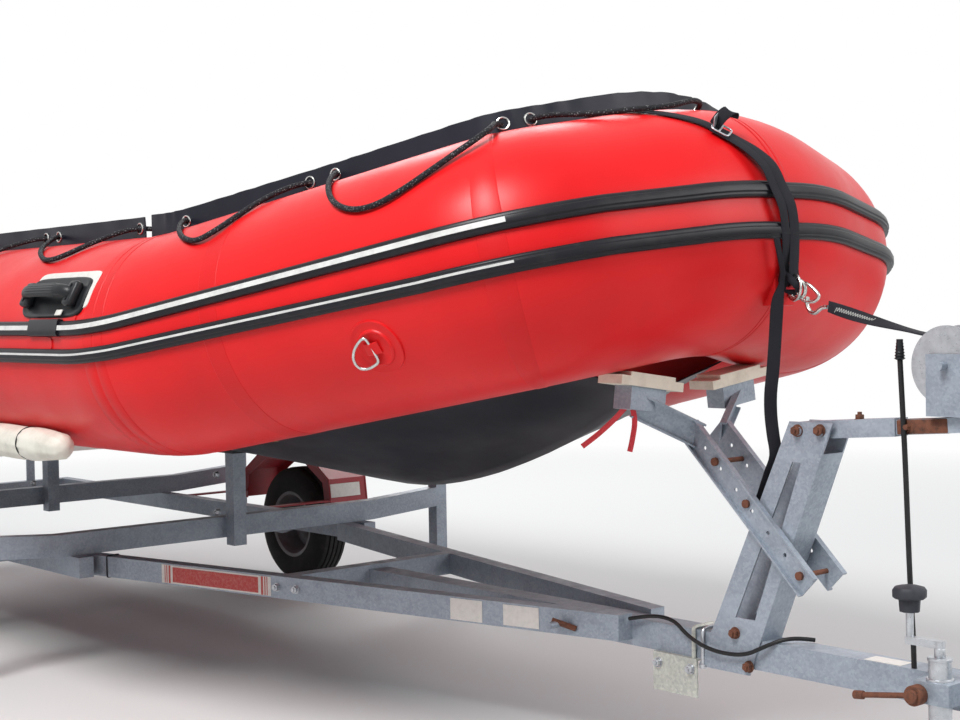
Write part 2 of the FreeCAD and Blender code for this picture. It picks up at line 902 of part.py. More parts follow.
post_boxes = []
for side_name, side in SIDES:
    for place_name, rear_x in (("front", "cross_front_x"), ("rear", "cross_rear_x")):
        post_boxes.append(block(
            "bunk_post", (rear_x + " + cross_depth / 2 - bunk_post_width / 2",
                          "%d * bunk_post_y - bunk_post_width / 2" % side, "bunk_post_low_z"),
            ("bunk_post_width", "bunk_post_width",
             "%s - bunk_radius - contact_gap - bunk_post_low_z" % BUNK_Z)))
    bunk = rod("bunk_" + side_name, ("bunk_rear_x", "%d * bunk_post_y" % side, BUNK_Z),
               "bunk_radius", "bunk_front_x - bunk_rear_x", "X")
    node("bunk_" + side_name, bunk)
posts = doc.addObject("Part::Compound", "bunk_posts")
posts.Links = post_boxes
node("bunk_posts", posts)

# Keel posts on the front faces of the cross beams, with the pads that the keel rests on

KEEL_STATIONS = (("front", "cross_front_x"), ("rear", "cross_rear_x"))
keel_parts = []
pad_parts = []
for place_name, rear_x in KEEL_STATIONS:
    post_x = mm(rear_x) + mm("cross_depth")
    half = mm("keel_pad_length") / 2
    centre_x = post_x + mm("keel_post_width") / 2
    lowest = min(keel_z(centre_x - half), keel_z(centre_x + half))
    pad_top = lowest - mm("contact_gap")
    pad_low = pad_top - mm("keel_pad_height")
    pad_box = Part.makeBox(mm("keel_pad_length"), mm("keel_pad_width"), mm("keel_pad_height"),
                           V(centre_x - half, -mm("keel_pad_width") / 2, pad_low))
    pad_parts.append(pad_box)
    low = mm("beam_low_z") + 40
    keel_parts.append(Part.makeBox(mm("keel_post_width"), mm("keel_post_width"), pad_low - low,
                                   V(post_x, mm("keel_post_y") - mm("keel_post_width") / 2, low)))
node("keel_posts", feature("keel_posts", Part.makeCompound(keel_parts)))
node("keel_pads", feature("keel_pads", Part.makeCompound(pad_parts)))

# Tail beam with two uprights, lamp board with its lamps

tail = block("tail_bar", ("rail_rear_x - tail_depth", "-rail_inner_y - beam_width", "beam_low_z"),
             ("tail_depth", "2 * (rail_inner_y + beam_width)", "beam_height"))
BOARD_X = "(lamp_face_x + lamp_depth)"
uprights = []
for side_name, side in SIDES:
    uprights.append(block("lamp_upright", (BOARD_X + " + lamp_board_thickness", "%d * 400 - 20" % side,
                                           "beam_low_z + beam_height"),
                          ("8", "40", "lamp_board_low_z + lamp_board_height - beam_low_z - beam_height - 20")))
node("tail_beam", fuse("tail_beam", [tail] + uprights))

board = block("board", (BOARD_X, "-lamp_board_half", "lamp_board_low_z"),
              ("lamp_board_thickness", "2 * lamp_board_half", "lamp_board_height"))
lamps = []
for side_name, side in SIDES:
    inner = "lamp_board_half - 40 - lamp_width" if side > 0 else "-lamp_board_half + 40"
    lamps.append(block("lamp", ("lamp_face_x", inner, "lamp_board_low_z + (lamp_board_height - lamp_height) / 2"),
                       ("lamp_depth", "lamp_width", "lamp_height")))
node("lamp_board", fuse("lamp_board", [board] + lamps))

# Axle with trailing arms and stub axles

axle_parts = [block("axle_bar", ("axle_beam_x - axle_beam_size / 2", "-axle_beam_half",
                                 "beam_low_z - axle_beam_size"),
                    ("axle_beam_size", "2 * axle_beam_half", "axle_beam_size"))]
for side_name, side in SIDES:
    arm_body = new_body("axle_arm", ("0", "%d * (axle_beam_half + arm_thickness / 2)" % side, "0"))
    arm_corners = [("axle_x - 32", "wheel_radius - 30"), ("axle_x + 20", "wheel_radius - 32"),
                   ("axle_beam_x + 32", "beam_low_z - axle_beam_size"), ("axle_beam_x + 32", "beam_low_z"),
                   ("axle_beam_x - 32", "beam_low_z"), ("axle_x - 32", "wheel_radius + 30")]
    pad(arm_body, "XZ_Plane", arm_corners, "arm_thickness")
    axle_parts.append(arm_body)
    start_y = "axle_beam_half" if side > 0 else "-wheel_y - 20"
    axle_parts.append(rod("stub", ("axle_x", start_y, "wheel_radius"), "stub_radius",
                          "wheel_y + 20 - axle_beam_half", "Y"))
node("axle", fuse("axle", axle_parts))


def guard(name, side):
    """Mudguard folded from sheet in five flats, with cheeks at both sides."""
    body = new_body(name, ("axle_x", "%d * (guard_inner_y + guard_outer_y) / 2" % side, "0"))
    arch = [("guard_foot_half", "guard_foot_z"), ("guard_shoulder_half", "guard_shoulder_z"),
            ("guard_top_half", "guard_top_z")]
    arch = arch + [("-" + a, b) for a, b in reversed(arch)]

    def inset(depth):
        sunk = [("guard_foot_half - %s" % depth, "guard_foot_z"),
                ("guard_shoulder_half - %s" % depth, "guard_shoulder_z - %s * 0.4" % depth),
                ("guard_top_half - %s * 0.4" % depth, "guard_top_z - %s" % depth)]
        return [("-(%s)" % a, b) for a, b in sunk] + [(a, b) for a, b in reversed(sunk)]

    pad(body, "XZ_Plane", arch + inset("guard_cheek"), "guard_outer_y - guard_inner_y")
    hollow = [("%s%s" % ("" if i < 3 else "-", ("guard_foot_half - guard_sheet", "guard_shoulder_half - guard_sheet",
                                                "guard_top_half - guard_sheet * 0.4")[i if i < 3 else 5 - i]),
               ("guard_foot_z - 1", "guard_shoulder_z - guard_sheet * 0.4",
                "guard_top_z - guard_sheet")[i if i < 3 else 5 - i]) for i in range(3)]
    hollow = hollow + [("-(%s)" % a, b) for a, b in reversed(hollow)]
    pocket(body, "XZ_Plane", hollow, "guard_outer_y - guard_inner_y - 2 * guard_sheet")
    return body


for side_name, side in SIDES:
    shell = guard("guard_shell_" + side_name, side)
    brackets = []
    for direction in (-1, 1):
        low_x = "axle_x + %d * (guard_foot_half - guard_cheek / 2) - guard_bracket_width / 2" % direction
        low_y = "rail_inner_y + beam_width" if side > 0 else "-guard_inner_y"
        brackets.append(block("guard_bracket", (low_x, low_y, "beam_low_z + beam_height - guard_bracket_thickness"),
                              ("guard_bracket_width", "guard_inner_y - rail_inner_y - beam_width",
                               "guard_bracket_thickness")))
    node("mudguard_" + side_name, fuse("mudguard_" + side_name, [shell] + brackets))

# Wheels

# outer half of the tyre's outline: distance from its middle plane, radius
TYRE_HALF = (
    (mm("tread_half_width"), mm("wheel_radius")),
    (mm("tyre_half_width") - 2, mm("wheel_radius") - 28),
    (mm("tyre_half_width"), mm("flange_radius") + 32),
    (mm("bead_half_width"), mm("flange_radius") + 1),
    (mm("bead_half_width"), mm("bead_radius")),
)
TYRE_FLATS = 48
BORE = "(stub_radius + stub_clearance)"


def tyre_shell(centre):
    """The tyre as rings of flats, one of them on the ground."""
    outline = list(TYRE_HALF) + [(-half, radius) for half, radius in reversed(TYRE_HALF)]
    step = 2 * math.pi / TYRE_FLATS
    rings = []
    for across, radius in outline:
        corner = radius / math.cos(step / 2)
        angles = [step * (i + 0.5) for i in range(TYRE_FLATS)]
        rings.append([centre + V(corner * math.sin(a), across, -corner * math.cos(a)) for a in angles])
    faces = []
    for first, second in zip(rings, rings[1:] + rings[:1]):
        for i in range(TYRE_FLATS):
            corners = [first[i - 1], first[i], second[i], second[i - 1]]
            faces.append(Part.Face(Part.makePolygon(corners + corners[:1])))
    tyre = Part.Solid(Part.makeShell(faces))
    return tyre if tyre.Volume > 0 else tyre.reversed()


def rim(name, side):
    """Pressed rim with a dished disc, flanges and a hub on the stub axle."""
    body = new_body(name, ("axle_x", "%d * wheel_y" % side, "wheel_radius"))
    wall = "(bead_radius - rim_wall)"
    out = "%d * " % side
    lip = "(bead_half_width + rim_wall)"
    corners = [(out + "(-45)", BORE), (out + "26", BORE), (out + "26", "hub_radius"),
               (out + "14", "hub_radius"), (out + "8", "80"), (out + "16", wall),
               (out + lip, wall), (out + lip, "flange_radius"), (out + "bead_half_width", "flange_radius"),
               (out + "bead_half_width", "bead_radius"), (out + "(-bead_half_width)", "bead_radius"),
               (out + "(-bead_half_width)", "flange_radius"), (out + "(-%s)" % lip, "flange_radius"),
               (out + "(-%s)" % lip, wall), (out + "8", wall), (out + "0", "78"), (out + "(-45)", "hub_radius")]
    spun(body, corners)
    return body


for side_name, side in SIDES:
    middle = V(mm("axle_x"), side * mm("wheel_y"), mm("wheel_radius"))
    node("tyre_" + side_name, feature("tyre_" + side_name, tyre_shell(middle)))
    node("rim_" + side_name, rim("rim_" + side_name, side))

# Winch post: two flanks and a front web, astride the drawbar

POST_SLOPE_FRONT = "(post_top_front_x - post_foot_front_x) / (post_top_z - post_foot_z)"


def winch_post():
    body = new_body("winch_post")
    flank = [("post_foot_rear_x", "post_foot_z"), ("post_foot_front_x", "post_foot_z"),
             ("post_top_front_x", "post_top_z"), ("post_top_rear_x", "post_top_z")]
    pad(body, "XZ_Plane", flank, "drawbar_width + 2 * plate")
    inner = [("post_foot_rear_x - 200", "post_foot_z - 10"), ("post_foot_front_x - plate * 1.08 + 300", "post_foot_z - 10"),
             ("post_foot_front_x + 300", "drawbar_top_z"),
             ("post_foot_front_x - plate * 1.08 + %s * (drawbar_top_z - post_foot_z)" % POST_SLOPE_FRONT,
              "drawbar_top_z"),
             ("post_top_front_x - plate * 1.08", "post_top_z"), ("post_top_front_x - plate * 1.08", "post_top_z + 10"),
             ("post_foot_rear_x - 200", "post_top_z + 10")]
    pocket(body, "XZ_Plane", inner, "drawbar_width")
    slot = [("slot_low_rear_x", "slot_low_z"), ("slot_low_front_x", "slot_low_z"),
            ("slot_top_front_x", "slot_top_z"), ("slot_top_rear_x", "slot_top_z")]
    pocket(body, "XZ_Plane", slot, "3 * drawbar_width")
    mouth = [("post_top_front_x - 60", "post_mouth_z"), ("post_top_front_x + 60", "post_mouth_z"),
             ("post_top_front_x + 60", "post_top_z + 10"), ("post_top_front_x - 60", "post_top_z + 10")]
    pocket(body, "XZ_Plane", mouth, "drawbar_width")
    return body


ARM_BOLTS = (("winch_arm_rear_x + 10", 0), ("winch_arm_rear_x + 70", 1))
post_holes = [rod("bolt_hole", (x, "-drawbar_width", "winch_arm_drop_z + winch_arm_height"), "bolt_radius + contact_gap",
                  "2 * drawbar_width", "Y") for x, _ in ARM_BOLTS]
post_tool = doc.addObject("Part::Compound", "post_holes")
post_tool.Links = post_holes
node("winch_post", cut("winch_post_drilled", winch_post(), post_tool))


def winch_arm():
    """Box tube held in the head of the post, with the thinner tube that slides in it."""
    body = new_body("winch_arm_tubes")
    rise = "winch_arm_slope * (winch_arm_front_x - winch_arm_rear_x)"
    base = "(winch_arm_drop_z + winch_arm_height / 2)"
    outer = [("winch_arm_rear_x", base), ("winch_arm_front_x", "%s + %s" % (base, rise)),
             ("winch_arm_front_x", "%s + %s + winch_arm_height" % (base, rise)),
             ("winch_arm_rear_x", base + " + winch_arm_height")]
    pad(body, "XZ_Plane", outer, "winch_arm_width")
    return body


arm_parts = [winch_arm()]
inner_body = new_body("winch_tube")
inner_rise = "winch_arm_slope * (%s - winch_arm_rear_x) + winch_arm_drop_z + winch_arm_height / 2 + 4"
inner_corners = [("winch_arm_front_x - 30", inner_rise % "(winch_arm_front_x - 30)"),
                 ("winch_tube_front_x", inner_rise % "winch_tube_front_x"),
                 ("winch_tube_front_x", inner_rise % "winch_tube_front_x" + " + winch_tube_height"),
                 ("winch_arm_front_x - 30", inner_rise % "(winch_arm_front_x - 30)" + " + winch_tube_height")]
pad(inner_body, "XZ_Plane", inner_corners, "winch_arm_width - 10")
arm_parts.append(inner_body)
for x, _ in ARM_BOLTS:
    arm_parts.append(rod("arm_bolt", (x, "-drawbar_width / 2 - plate - bolt_head_height",
                                      "winch_arm_drop_z + winch_arm_height"), "bolt_radius",
                         "drawbar_width + 2 * plate + 2 * bolt_head_height", "Y"))
    for low_y in ("-drawbar_width / 2 - plate - bolt_head_height", "drawbar_width / 2 + plate"):
        arm_parts.append(rod("arm_bolt_head", (x, low_y, "winch_arm_drop_z + winch_arm_height"),
                             "bolt_head_radius", "bolt_head_height", "Y"))
node("winch_arm", fuse("winch_arm", arm_parts))

# Winch: two side plates on the tube, drum with flanges and its wound strap

ARM_TOP = "(winch_arm_slope * (%s - winch_arm_rear_x) + winch_arm_drop_z + winch_arm_height / 2 + 4 + winch_tube_height)"
frame_base = ARM_TOP % "(winch_x + winch_frame_width / 2)"
frame_parts = []
for low_y in ("-winch_half_width - winch_wall - 2 * contact_gap - 4", "winch_half_width + 2 * contact_gap + 4"):
    frame_parts.append(block("winch_cheek", ("winch_x - winch_frame_width / 2", low_y, frame_base),
                             ("winch_frame_width", "winch_wall", "winch_z + 25 - %s" % frame_base)))
frame_parts.append(block("winch_foot", ("winch_x - winch_frame_width / 2",
                                        "-winch_half_width - winch_wall - 2 * contact_gap - 4", frame_base),
                         ("winch_frame_width", "2 * (winch_half_width + winch_wall + 2 * contact_gap + 4)", "5")))
frame_parts.append(rod("winch_axle", ("winch_x", "-winch_half_width - 30", "winch_z"), "9",
                       "2 * winch_half_width + 60", "Y"))
node("winch_frame", fuse("winch_frame", frame_parts))

drum_body = new_body("winch_drum", ("winch_x", "0", "winch_z"))
drum_corners = [("-winch_half_width", "9 + contact_gap"), ("-winch_half_width", "winch_flange_radius"),
                ("-winch_half_width + winch_wall", "winch_flange_radius"),
                ("-winch_half_width + winch_wall", "drum_core_radius"),
                ("winch_half_width - winch_wall", "drum_core_radius"), ("winch_half_width - winch_wall", "winch_flange_radius"),
                ("winch_half_width", "winch_flange_radius"), ("winch_half_width", "9 + contact_gap")]
spun(drum_body, drum_corners)
node("winch_drum", drum_body)

# Coupling head over the front of the drawbar

coupling_low = "(drawbar_top_z - drawbar_width)"
head = new_body("coupling_shell")
head_corners = [("drawbar_front_x", coupling_low + " + 4"), ("drawbar_front_x + 60", coupling_low + " - 12"),
                ("coupling_nose_x - 60", coupling_low + " - 12"), ("coupling_nose_x", coupling_low + " + 10"),
                ("coupling_nose_x", coupling_low + " + 40"), ("coupling_nose_x - 40", coupling_low + " + 66"),
                ("drawbar_front_x + 60", "drawbar_top_z + 4"), ("drawbar_front_x", "drawbar_top_z")]
pad(head, "XZ_Plane", head_corners, "drawbar_width")
mouth_x = "(coupling_nose_x - coupling_radius - 8)"
socket = rod("socket", (mouth_x, "0", coupling_low + " - 12"), "ball_radius + ball_clearance",
             "coupling_mouth_length")
dome = doc.addObject("Part::Sphere", "dome")
bind(dome, "Radius", "ball_radius + ball_clearance")
place(dome, (mouth_x, "0", coupling_low + " - 12 + coupling_mouth_length"))
node("coupling_head", cut("coupling_head", head, fuse("socket_hollow", [socket, dome])))

handle_body = new_body("coupling_handle")
handle_corners = [("drawbar_front_x + 15", "drawbar_top_z + 1 + contact_gap"),
                  ("drawbar_front_x + 60", "drawbar_top_z + 4 + contact_gap"),
                  ("coupling_nose_x - 30", "drawbar_top_z + 46"), ("coupling_nose_x - 34", "drawbar_top_z + 62"),
                  ("drawbar_front_x + 40", "drawbar_top_z + 40")]
pad(handle_body, "XZ_Plane", handle_corners, "30")
node("coupling_handle", handle_body)

# Jack on the starboard flank of the drawbar

clamp_base = block("clamp_block", ("jack_x - 42", "jack_y - 34", "clamp_low_z"),
                   ("84", "-drawbar_width / 2 - jack_y + 34", "clamp_height"))
clamp_bore = rod("clamp_bore", ("jack_x", "jack_y", "clamp_low_z - 1"), "jack_radius", "clamp_height + 2")
node("jack_clamp", cut("jack_clamp", clamp_base, clamp_bore))

outer_tube = rod("jack_outer", ("jack_x", "jack_y", "jack_low_z"), "jack_radius", "jack_top_z - jack_low_z")
inner_bore = rod("jack_bore", ("jack_x", "jack_y", "jack_low_z - 1"), "jack_radius - jack_wall",
                 "jack_top_z - jack_low_z - 5")
jack_outer = cut("jack_outer_bored", outer_tube, inner_bore)

spindle = rod("crank_spindle", ("jack_x", "jack_y", "jack_top_z"), "9", "crank_z - jack_top_z + 8")
crank_bar = block("crank_bar", ("knob_x - 8", "jack_y - 8", "crank_z - 8"), ("jack_x - knob_x + 16", "16", "16"))
knob_stem = rod("knob_stem", ("knob_x", "jack_y", "crank_z - 8"), "8", "76")
knob = rod("knob", ("knob_x", "jack_y", "crank_z + 68"), "20", "40")
node("jack_tube", fuse("jack_tube", [jack_outer, spindle, crank_bar, knob_stem, knob]))

# The leg ends low enough to stay in the outer tube when the jack is wound right out

leg = rod("jack_leg", ("jack_x", "jack_y", "fork_top_z + fork_gap"), "leg_radius",
          "jack_top_z - 34 - fork_top_z - fork_gap")
node("jack_leg", leg)

fork_top = block("fork_top", ("jockey_x - 30", "jack_y - jockey_half_width - 5 - fork_plate", "fork_top_z - 10"),
                 ("jack_x - jockey_x + 55", "2 * (jockey_half_width + 5 + fork_plate)", "10"))
fork_pin = rod("fork_pin", ("jack_x", "jack_y", "fork_top_z"), "leg_radius", "fork_gap - contact_gap")
fork_parts = [fork_top, fork_pin]
for low_y in ("jack_y - jockey_half_width - 5 - fork_plate", "jack_y + jockey_half_width + 5"):
    fork_parts.append(block("fork_plate", ("jockey_x - 22", low_y, "jockey_radius - 14"),
                            ("44", "fork_plate", "fork_top_z - jockey_radius + 14")))
fork_parts.append(rod("jockey_axle", ("jockey_x", "jack_y - jockey_half_width - 9 - fork_plate", "jockey_radius"),
                      "jockey_axle_radius", "2 * (jockey_half_width + 9 + fork_plate)", "Y"))
node("jockey_fork", fuse("jockey_fork", fork_parts))

jockey_body = new_body("jockey_wheel", ("jockey_x", "jack_y", "jockey_radius"))
jockey_corners = [("-jockey_half_width - 3", "jockey_axle_radius + stub_clearance"),
                  ("jockey_half_width + 3", "jockey_axle_radius + stub_clearance"),
                  ("jockey_half_width + 3", "22"), ("jockey_half_width - 12", "26"),
                  ("jockey_half_width - 12", "50"), ("jockey_half_width", "54"),
                  ("jockey_half_width", "jockey_radius - 8"), ("jockey_half_width - 8", "jockey_radius"),
                  ("-jockey_half_width + 8", "jockey_radius"), ("-jockey_half_width", "jockey_radius - 8"),
                  ("-jockey_half_width", "54"), ("-jockey_half_width + 12", "50"),
                  ("-jockey_half_width + 12", "26"), ("-jockey_half_width - 3", "22")]
spun(jockey_body, jockey_corners)
node("jockey_wheel", jockey_body)

# Snub arms: pressed channels at both sides of the post that carry the pads under the bow

def channel(start, end, facing, width, thickness, lip):
    """Channel between two points; its flat web is centred on them and its lips point the way it faces."""
    run = (end - start).normalize()
    face = (facing - run * facing.dot(run)).normalize()
    across = face.cross(run)
    length = start.distanceToPoint(end)
    frame = FreeCAD.Rotation(run, across, face, "XZY")
    web = Part.makeBox(length, width, thickness, V(0, -width / 2, 0))
    lips = [Part.makeBox(length, thickness, lip, V(0, low, 0)) for low in (-width / 2, width / 2 - thickness)]
    shape = web.fuse(lips)
    shape.Placement = FreeCAD.Placement(start, frame)
    return shape


def snub_pad():
    """Stepped block whose outer end just touches the underside of the bow tube."""
    length = mm("snub_pad_length")
    width = mm("snub_pad_width")
    height = mm("snub_pad_height")
    block_shape = Part.makeBox(length, width, height, V(-length / 2, -width / 2, -height))
    for end in (-length / 2, length / 2 - 30):
        block_shape = block_shape.cut(Part.makeBox(30, width, 10, V(end, -width / 2, -10)))
    slope = FreeCAD.Rotation(V(1, 0, 0), -mm("snub_pad_slope"))
    turn = FreeCAD.Rotation(V(0, 0, 1), 90)
    at = V(mm("snub_pad_x"), -mm("snub_pad_y"), mm("nose_z") - mm("tube_radius") - 100)
    block_shape.Placement = FreeCAD.Placement(at, slope.multiply(turn))
    for _ in range(6):
        gap = block_shape.distToShape(bow_shape)[0] - mm("contact_gap")
        block_shape.translate(V(0, 0, gap))
    return block_shape


SNUB_RODS = (
    # x, z of the long bolts that clamp the two arms against the post
    ("snub_low_x", "snub_low_z"),
    ("snub_rod_mid_x", "snub_rod_mid_z"),
    ("snub_rod_top_x", "snub_rod_top_z"),
)
pad_shape = snub_pad()


def snub_arm():
    side_y = -mm("snub_side_y")
    thickness = mm("plate")
    width = mm("snub_width")
    low = V(mm("snub_low_x") + 24, side_y, mm("snub_low_z") - 24)
    bend = V(mm("snub_bend_x"), side_y, mm("snub_bend_z"))
    under_pad = pad_shape.Placement.multVec(V(0, 0, -mm("snub_pad_height")))
    head = V(under_pad.x, under_pad.y - 20, under_pad.z - 40)
    lower = channel(low, bend + (bend - low).normalize() * 16, V(0, -1, 0), width, thickness, mm("snub_lip"))
    upper = channel(bend - (head - bend).normalize() * 10, head, V(0.92, -0.31, -0.24), width, thickness,
                    mm("snub_lip"))
    seat = Part.makeBox(120, 56, 56, V(-60, -28, -mm("snub_pad_height") - 56))
    seat.Placement = pad_shape.Placement
    arm = joined([lower, upper, seat])
    tools = []
    for x, z in SNUB_RODS:
        tools.append(Part.makeCylinder(mm("bolt_radius") + mm("contact_gap"), 60, V(mm(x), side_y + 20, mm(z)),
                                       V(0, -1, 0)))
    for share in (0.2, 0.34, 0.48, 0.62, 0.76, 0.9):
        at = low + (bend - low) * share
        tools.append(Part.makeCylinder(5, 60, V(at.x, side_y + 20, at.z), V(0, -1, 0)))
    return arm.cut(tools)


arm_shape = snub_arm()
node("snub_arm_starboard", feature("snub_arm_starboard", arm_shape))
node("snub_arm_port", feature("snub_arm_port", mirrored(arm_shape)))
node("snub_pads", feature("snub_pads", Part.makeCompound([pad_shape, mirrored(pad_shape)])))

rod_parts = []
for x, z in SNUB_RODS:
    outer = "(snub_side_y + plate)"
    rod_parts.append(fuse("snub_rod", [
        rod("rod", (x, "-%s - bolt_head_height" % outer, z), "bolt_radius", "2 * (%s + bolt_head_height)" % outer, "Y"),
        rod("rod_head", (x, "-%s - bolt_head_height" % outer, z), "bolt_head_radius", "bolt_head_height", "Y"),
        rod("rod_nut", (x, outer, z), "bolt_head_radius", "bolt_head_height", "Y")]))
rods = doc.addObject("Part::Compound", "snub_rods")
rods.Links = rod_parts
node("snub_rods", rods)

# Link on the bow eye, the winch strap and the strap that ties the bow down

EYE = V(bow_front_x(mm("bow_ring_z"), mm("bow_plate_thickness")) + 0.6 * mm("bow_ring_radius"), 0, mm("bow_ring_z"))
WINCH = V(mm("winch_x"), 0, mm("winch_z"))


def winch_line():
    """Where the strap leaves the bow eye, and where it meets the wound strap as a tangent."""
    wound = mm("wound_radius")
    to_drum = WINCH - EYE
    distance = to_drum.Length
    lean = math.asin(wound / distance)
    angle = math.atan2(to_drum.z, to_drum.x) + lean
    along = V(math.cos(angle), 0, math.sin(angle))
    reach = math.sqrt(distance ** 2 - wound ** 2)
    return along, EYE + along * reach


STRAP_DIRECTION, STRAP_TANGENT = winch_line()
LINK_WIRE = 1.1 * mm("ring_wire_radius")
LINK_START = mm("bow_ring_radius") - 1.5 * mm("ring_wire_radius") - LINK_WIRE - mm("contact_gap")
LINK_END = LINK_START + mm("link_length")


def link():
    """Closed link of bent wire: narrow in the bow eye, as wide as the strap at its bar."""
    narrow = 2.4 * LINK_WIRE
    wide = mm("winch_strap_width") / 2 + 2.5 * LINK_WIRE
    first = EYE + STRAP_DIRECTION * LINK_START
    last = EYE + STRAP_DIRECTION * LINK_END
    corners = [first + V(0, -narrow, 0), last + V(0, -wide, 0), last + V(0, wide, 0), first + V(0, narrow, 0)]
    start = first
    loop = [start] + [corners[0], corners[1], corners[2], corners[3]] + [start]
    return bent_bar(loop, 1.2 * LINK_WIRE, LINK_WIRE)


node("snap_hook", feature("snap_hook", link()))


def winch_strap():
    """Webbing from a loop round the link's bar to the turns on the drum."""
    width = mm("winch_strap_width")
    thick = mm("strap_thickness")
    bar = EYE + STRAP_DIRECTION * LINK_END
    inner = 1.1 * LINK_WIRE + mm("contact_gap")
    loop = Part.makeCylinder(inner + thick, width, bar - V(0, width / 2, 0), V(0, 1, 0))
    above = V(-STRAP_DIRECTION.z, 0, STRAP_DIRECTION.x)
    start = bar + above * (inner + thick)
    end = STRAP_TANGENT
    corners = [start, end, end - above * thick, start - above * thick]
    corners = [corner - V(0, width / 2, 0) for corner in corners]
    strip = Part.Face(Part.makePolygon(corners + corners[:1])).extrude(V(0, width, 0))
    turns = Part.makeCylinder(mm("wound_radius"), width, WINCH - V(0, width / 2, 0), V(0, 1, 0))
    whole = joined([loop, strip, turns])
    hole = Part.makeCylinder(inner, width, bar - V(0, width / 2, 0), V(0, 1, 0))
    core = Part.makeCylinder(mm("drum_core_radius") + mm("contact_gap"), width, WINCH - V(0, width / 2, 0), V(0, 1, 0))
    return whole.cut([hole, core])


node("winch_strap", feature("winch_strap", winch_strap()))

TIE_STRAP = (
    # distance along the bow run, angle round it, height above the tube
    (262, 84, 2),
    (290, 74, 2),
    (335, 60, 2),
    (385, 45, 2),
    (425, 31, 2),
    (445, 22, 12),
    (458, 13, 21),
    (468, 4, 16),
    (476, -4, 21),
    (484, -13, 16),
    (488, -22, 14),
)


def flat_section(centre, across, out):
    """Closed outline of flat webbing; both vectors run from the centre to an edge."""
    corners = [centre - across - out, centre + across - out, centre + across + out, centre - across + out]
    return Part.makePolygon(corners + corners[:1])


def tie_strap():
    """Webbing laid over the bow tube and both strakes, from the flap to the bow eye."""
    half = mm("strap_thickness") / 2
    path = [BOW.at(along, angle, TUBE + lift + half) for along, angle, lift in TIE_STRAP]
    sections = []
    for i, (along, angle, lift) in enumerate(TIE_STRAP):
        ahead = path[min(i + 1, len(path) - 1)] - path[max(i - 1, 0)]
        out = BOW.radial(angle)
        across = ahead.cross(out).normalize() * (mm("tie_strap_width") / 2)
        sections.append(flat_section(path[i], across, out * half))
    return Part.makeLoft(sections, True, True)


DOWN_STRAP = (
    # x, y, z, heading of the width seen from above, width, thickness
    (2071, -82, 1299, 73, 14, 9),
    (2067, -66, 1259, 70, 14, 9),
    (2059, -45, 1223, 60, 14, 8),
    (2050, -38, 1196, 52, 12, 6),
    (2043, -43, 1168, 49, 26, 3),
    (2040, -45, 1137, 49, 30, 3),
    (2034, -45, 1069, 49, 30, 3),
    (2027, -45, 1000, 49, 30, 3),
    (2017, -42, 944, 49, 30, 3),
    (2009, -32, 895, 49, 30, 3),
    (2010, -26, 848, 49, 30, 3),
    (2012, -20, 801, 52, 30, 3),
    (1990, -16, 760, 70, 30, 3),
    (1956.3, -14, 691, 90, 30, 3),
)


def down_strap():
    """Webbing that hangs from the bow, down between the flanks of the post, to the middle long bolt."""
    path = [V(x, y, z) for x, y, z, heading, width, thick in DOWN_STRAP]
    sections = []
    for i, (x, y, z, heading, width, thick) in enumerate(DOWN_STRAP):
        ahead = path[min(i + 1, len(path) - 1)] - path[max(i - 1, 0)]
        across = V(math.cos(math.radians(heading)), math.sin(math.radians(heading)), 0)
        out = across.cross(ahead).normalize()
        sections.append(flat_section(path[i], across * (width / 2), out * (thick / 2)))
    return biggest(without_tubes(Part.makeLoft(sections, True, True)))


strakes_shape = [nodes["strake_upper"].Shape, nodes["strake_lower"].Shape, nodes["bow_ring"].Shape,
                 nodes["flap_forward"].Shape]
tie_shape = biggest(without_tubes(tie_strap()).cut(strakes_shape))
node("tie_strap", feature("tie_strap", tie_shape))
node("down_strap", feature("down_strap", down_strap().cut(strakes_shape)))

# Bracket that hangs below the drawbar in a bent bolt

flange_low = "(drawbar_top_z - drawbar_width - plate)"
drop_parts = [block("drop_flange", ("drop_rear_x", "-drawbar_width / 2 - 12", flange_low),
                    ("drop_front_x - drop_rear_x", "drawbar_width + 24", "plate")),
              block("drop_plate", ("drop_rear_x", "-drawbar_width / 2 - 12", "drop_low_z"),
                    ("drop_front_x - drop_rear_x", "plate", "%s - drop_low_z" % flange_low))]


def hoop():
    """Round bar bent over the drawbar, with both ends through the flange."""
    radius = mm("hoop_radius")
    out = mm("drawbar_width") / 2 + radius + mm("contact_gap")
    top = mm("drawbar_top_z") + radius + mm("contact_gap")
    low = mm("drawbar_top_z") - mm("drawbar_width") - mm("plate") - 12
    x = mm("drop_front_x") - 14
    return bent_bar([V(x, -out, low), V(x, -out, top), V(x, out, top), V(x, out, low)], 1.6 * radius, radius)


drop_parts.append(feature("hoop", hoop()))
node("drop_bracket", fuse("drop_bracket", drop_parts))

# Peg on the flank of the starboard slanting beam

peg_y = "(-drawbar_width / 2 - beam_width - (slant_rear_y - drawbar_width / 2 - beam_width) * (slant_front_x - peg_x) / (slant_front_x - slant_rear_x))"
pegged = [nodes["slant_beam_starboard"], rod("peg", ("peg_x", peg_y + " - 54", "peg_z"), "9", "60", "Y")]
node("slant_beam_starboard", fuse("slant_beam_pegged", pegged))

# Lifelines: each hangs in swags between pairs of holes in the flap and runs inside it within a pair

OUTSIDE = (85.1, 28)
INSIDE = (93.9, 27.8)
THROUGH = 28
PAST = 22
SAG = ((68, 12), (50, 13), (68, 12))


def pair_points(run, left, right):
    """Into the flap at one hole and out at the next, at 45 degrees through both."""
    return [(run, left - THROUGH) + OUTSIDE, (run, left + PAST) + INSIDE,
            (run, right - PAST) + INSIDE, (run, right + THROUGH) + OUTSIDE]


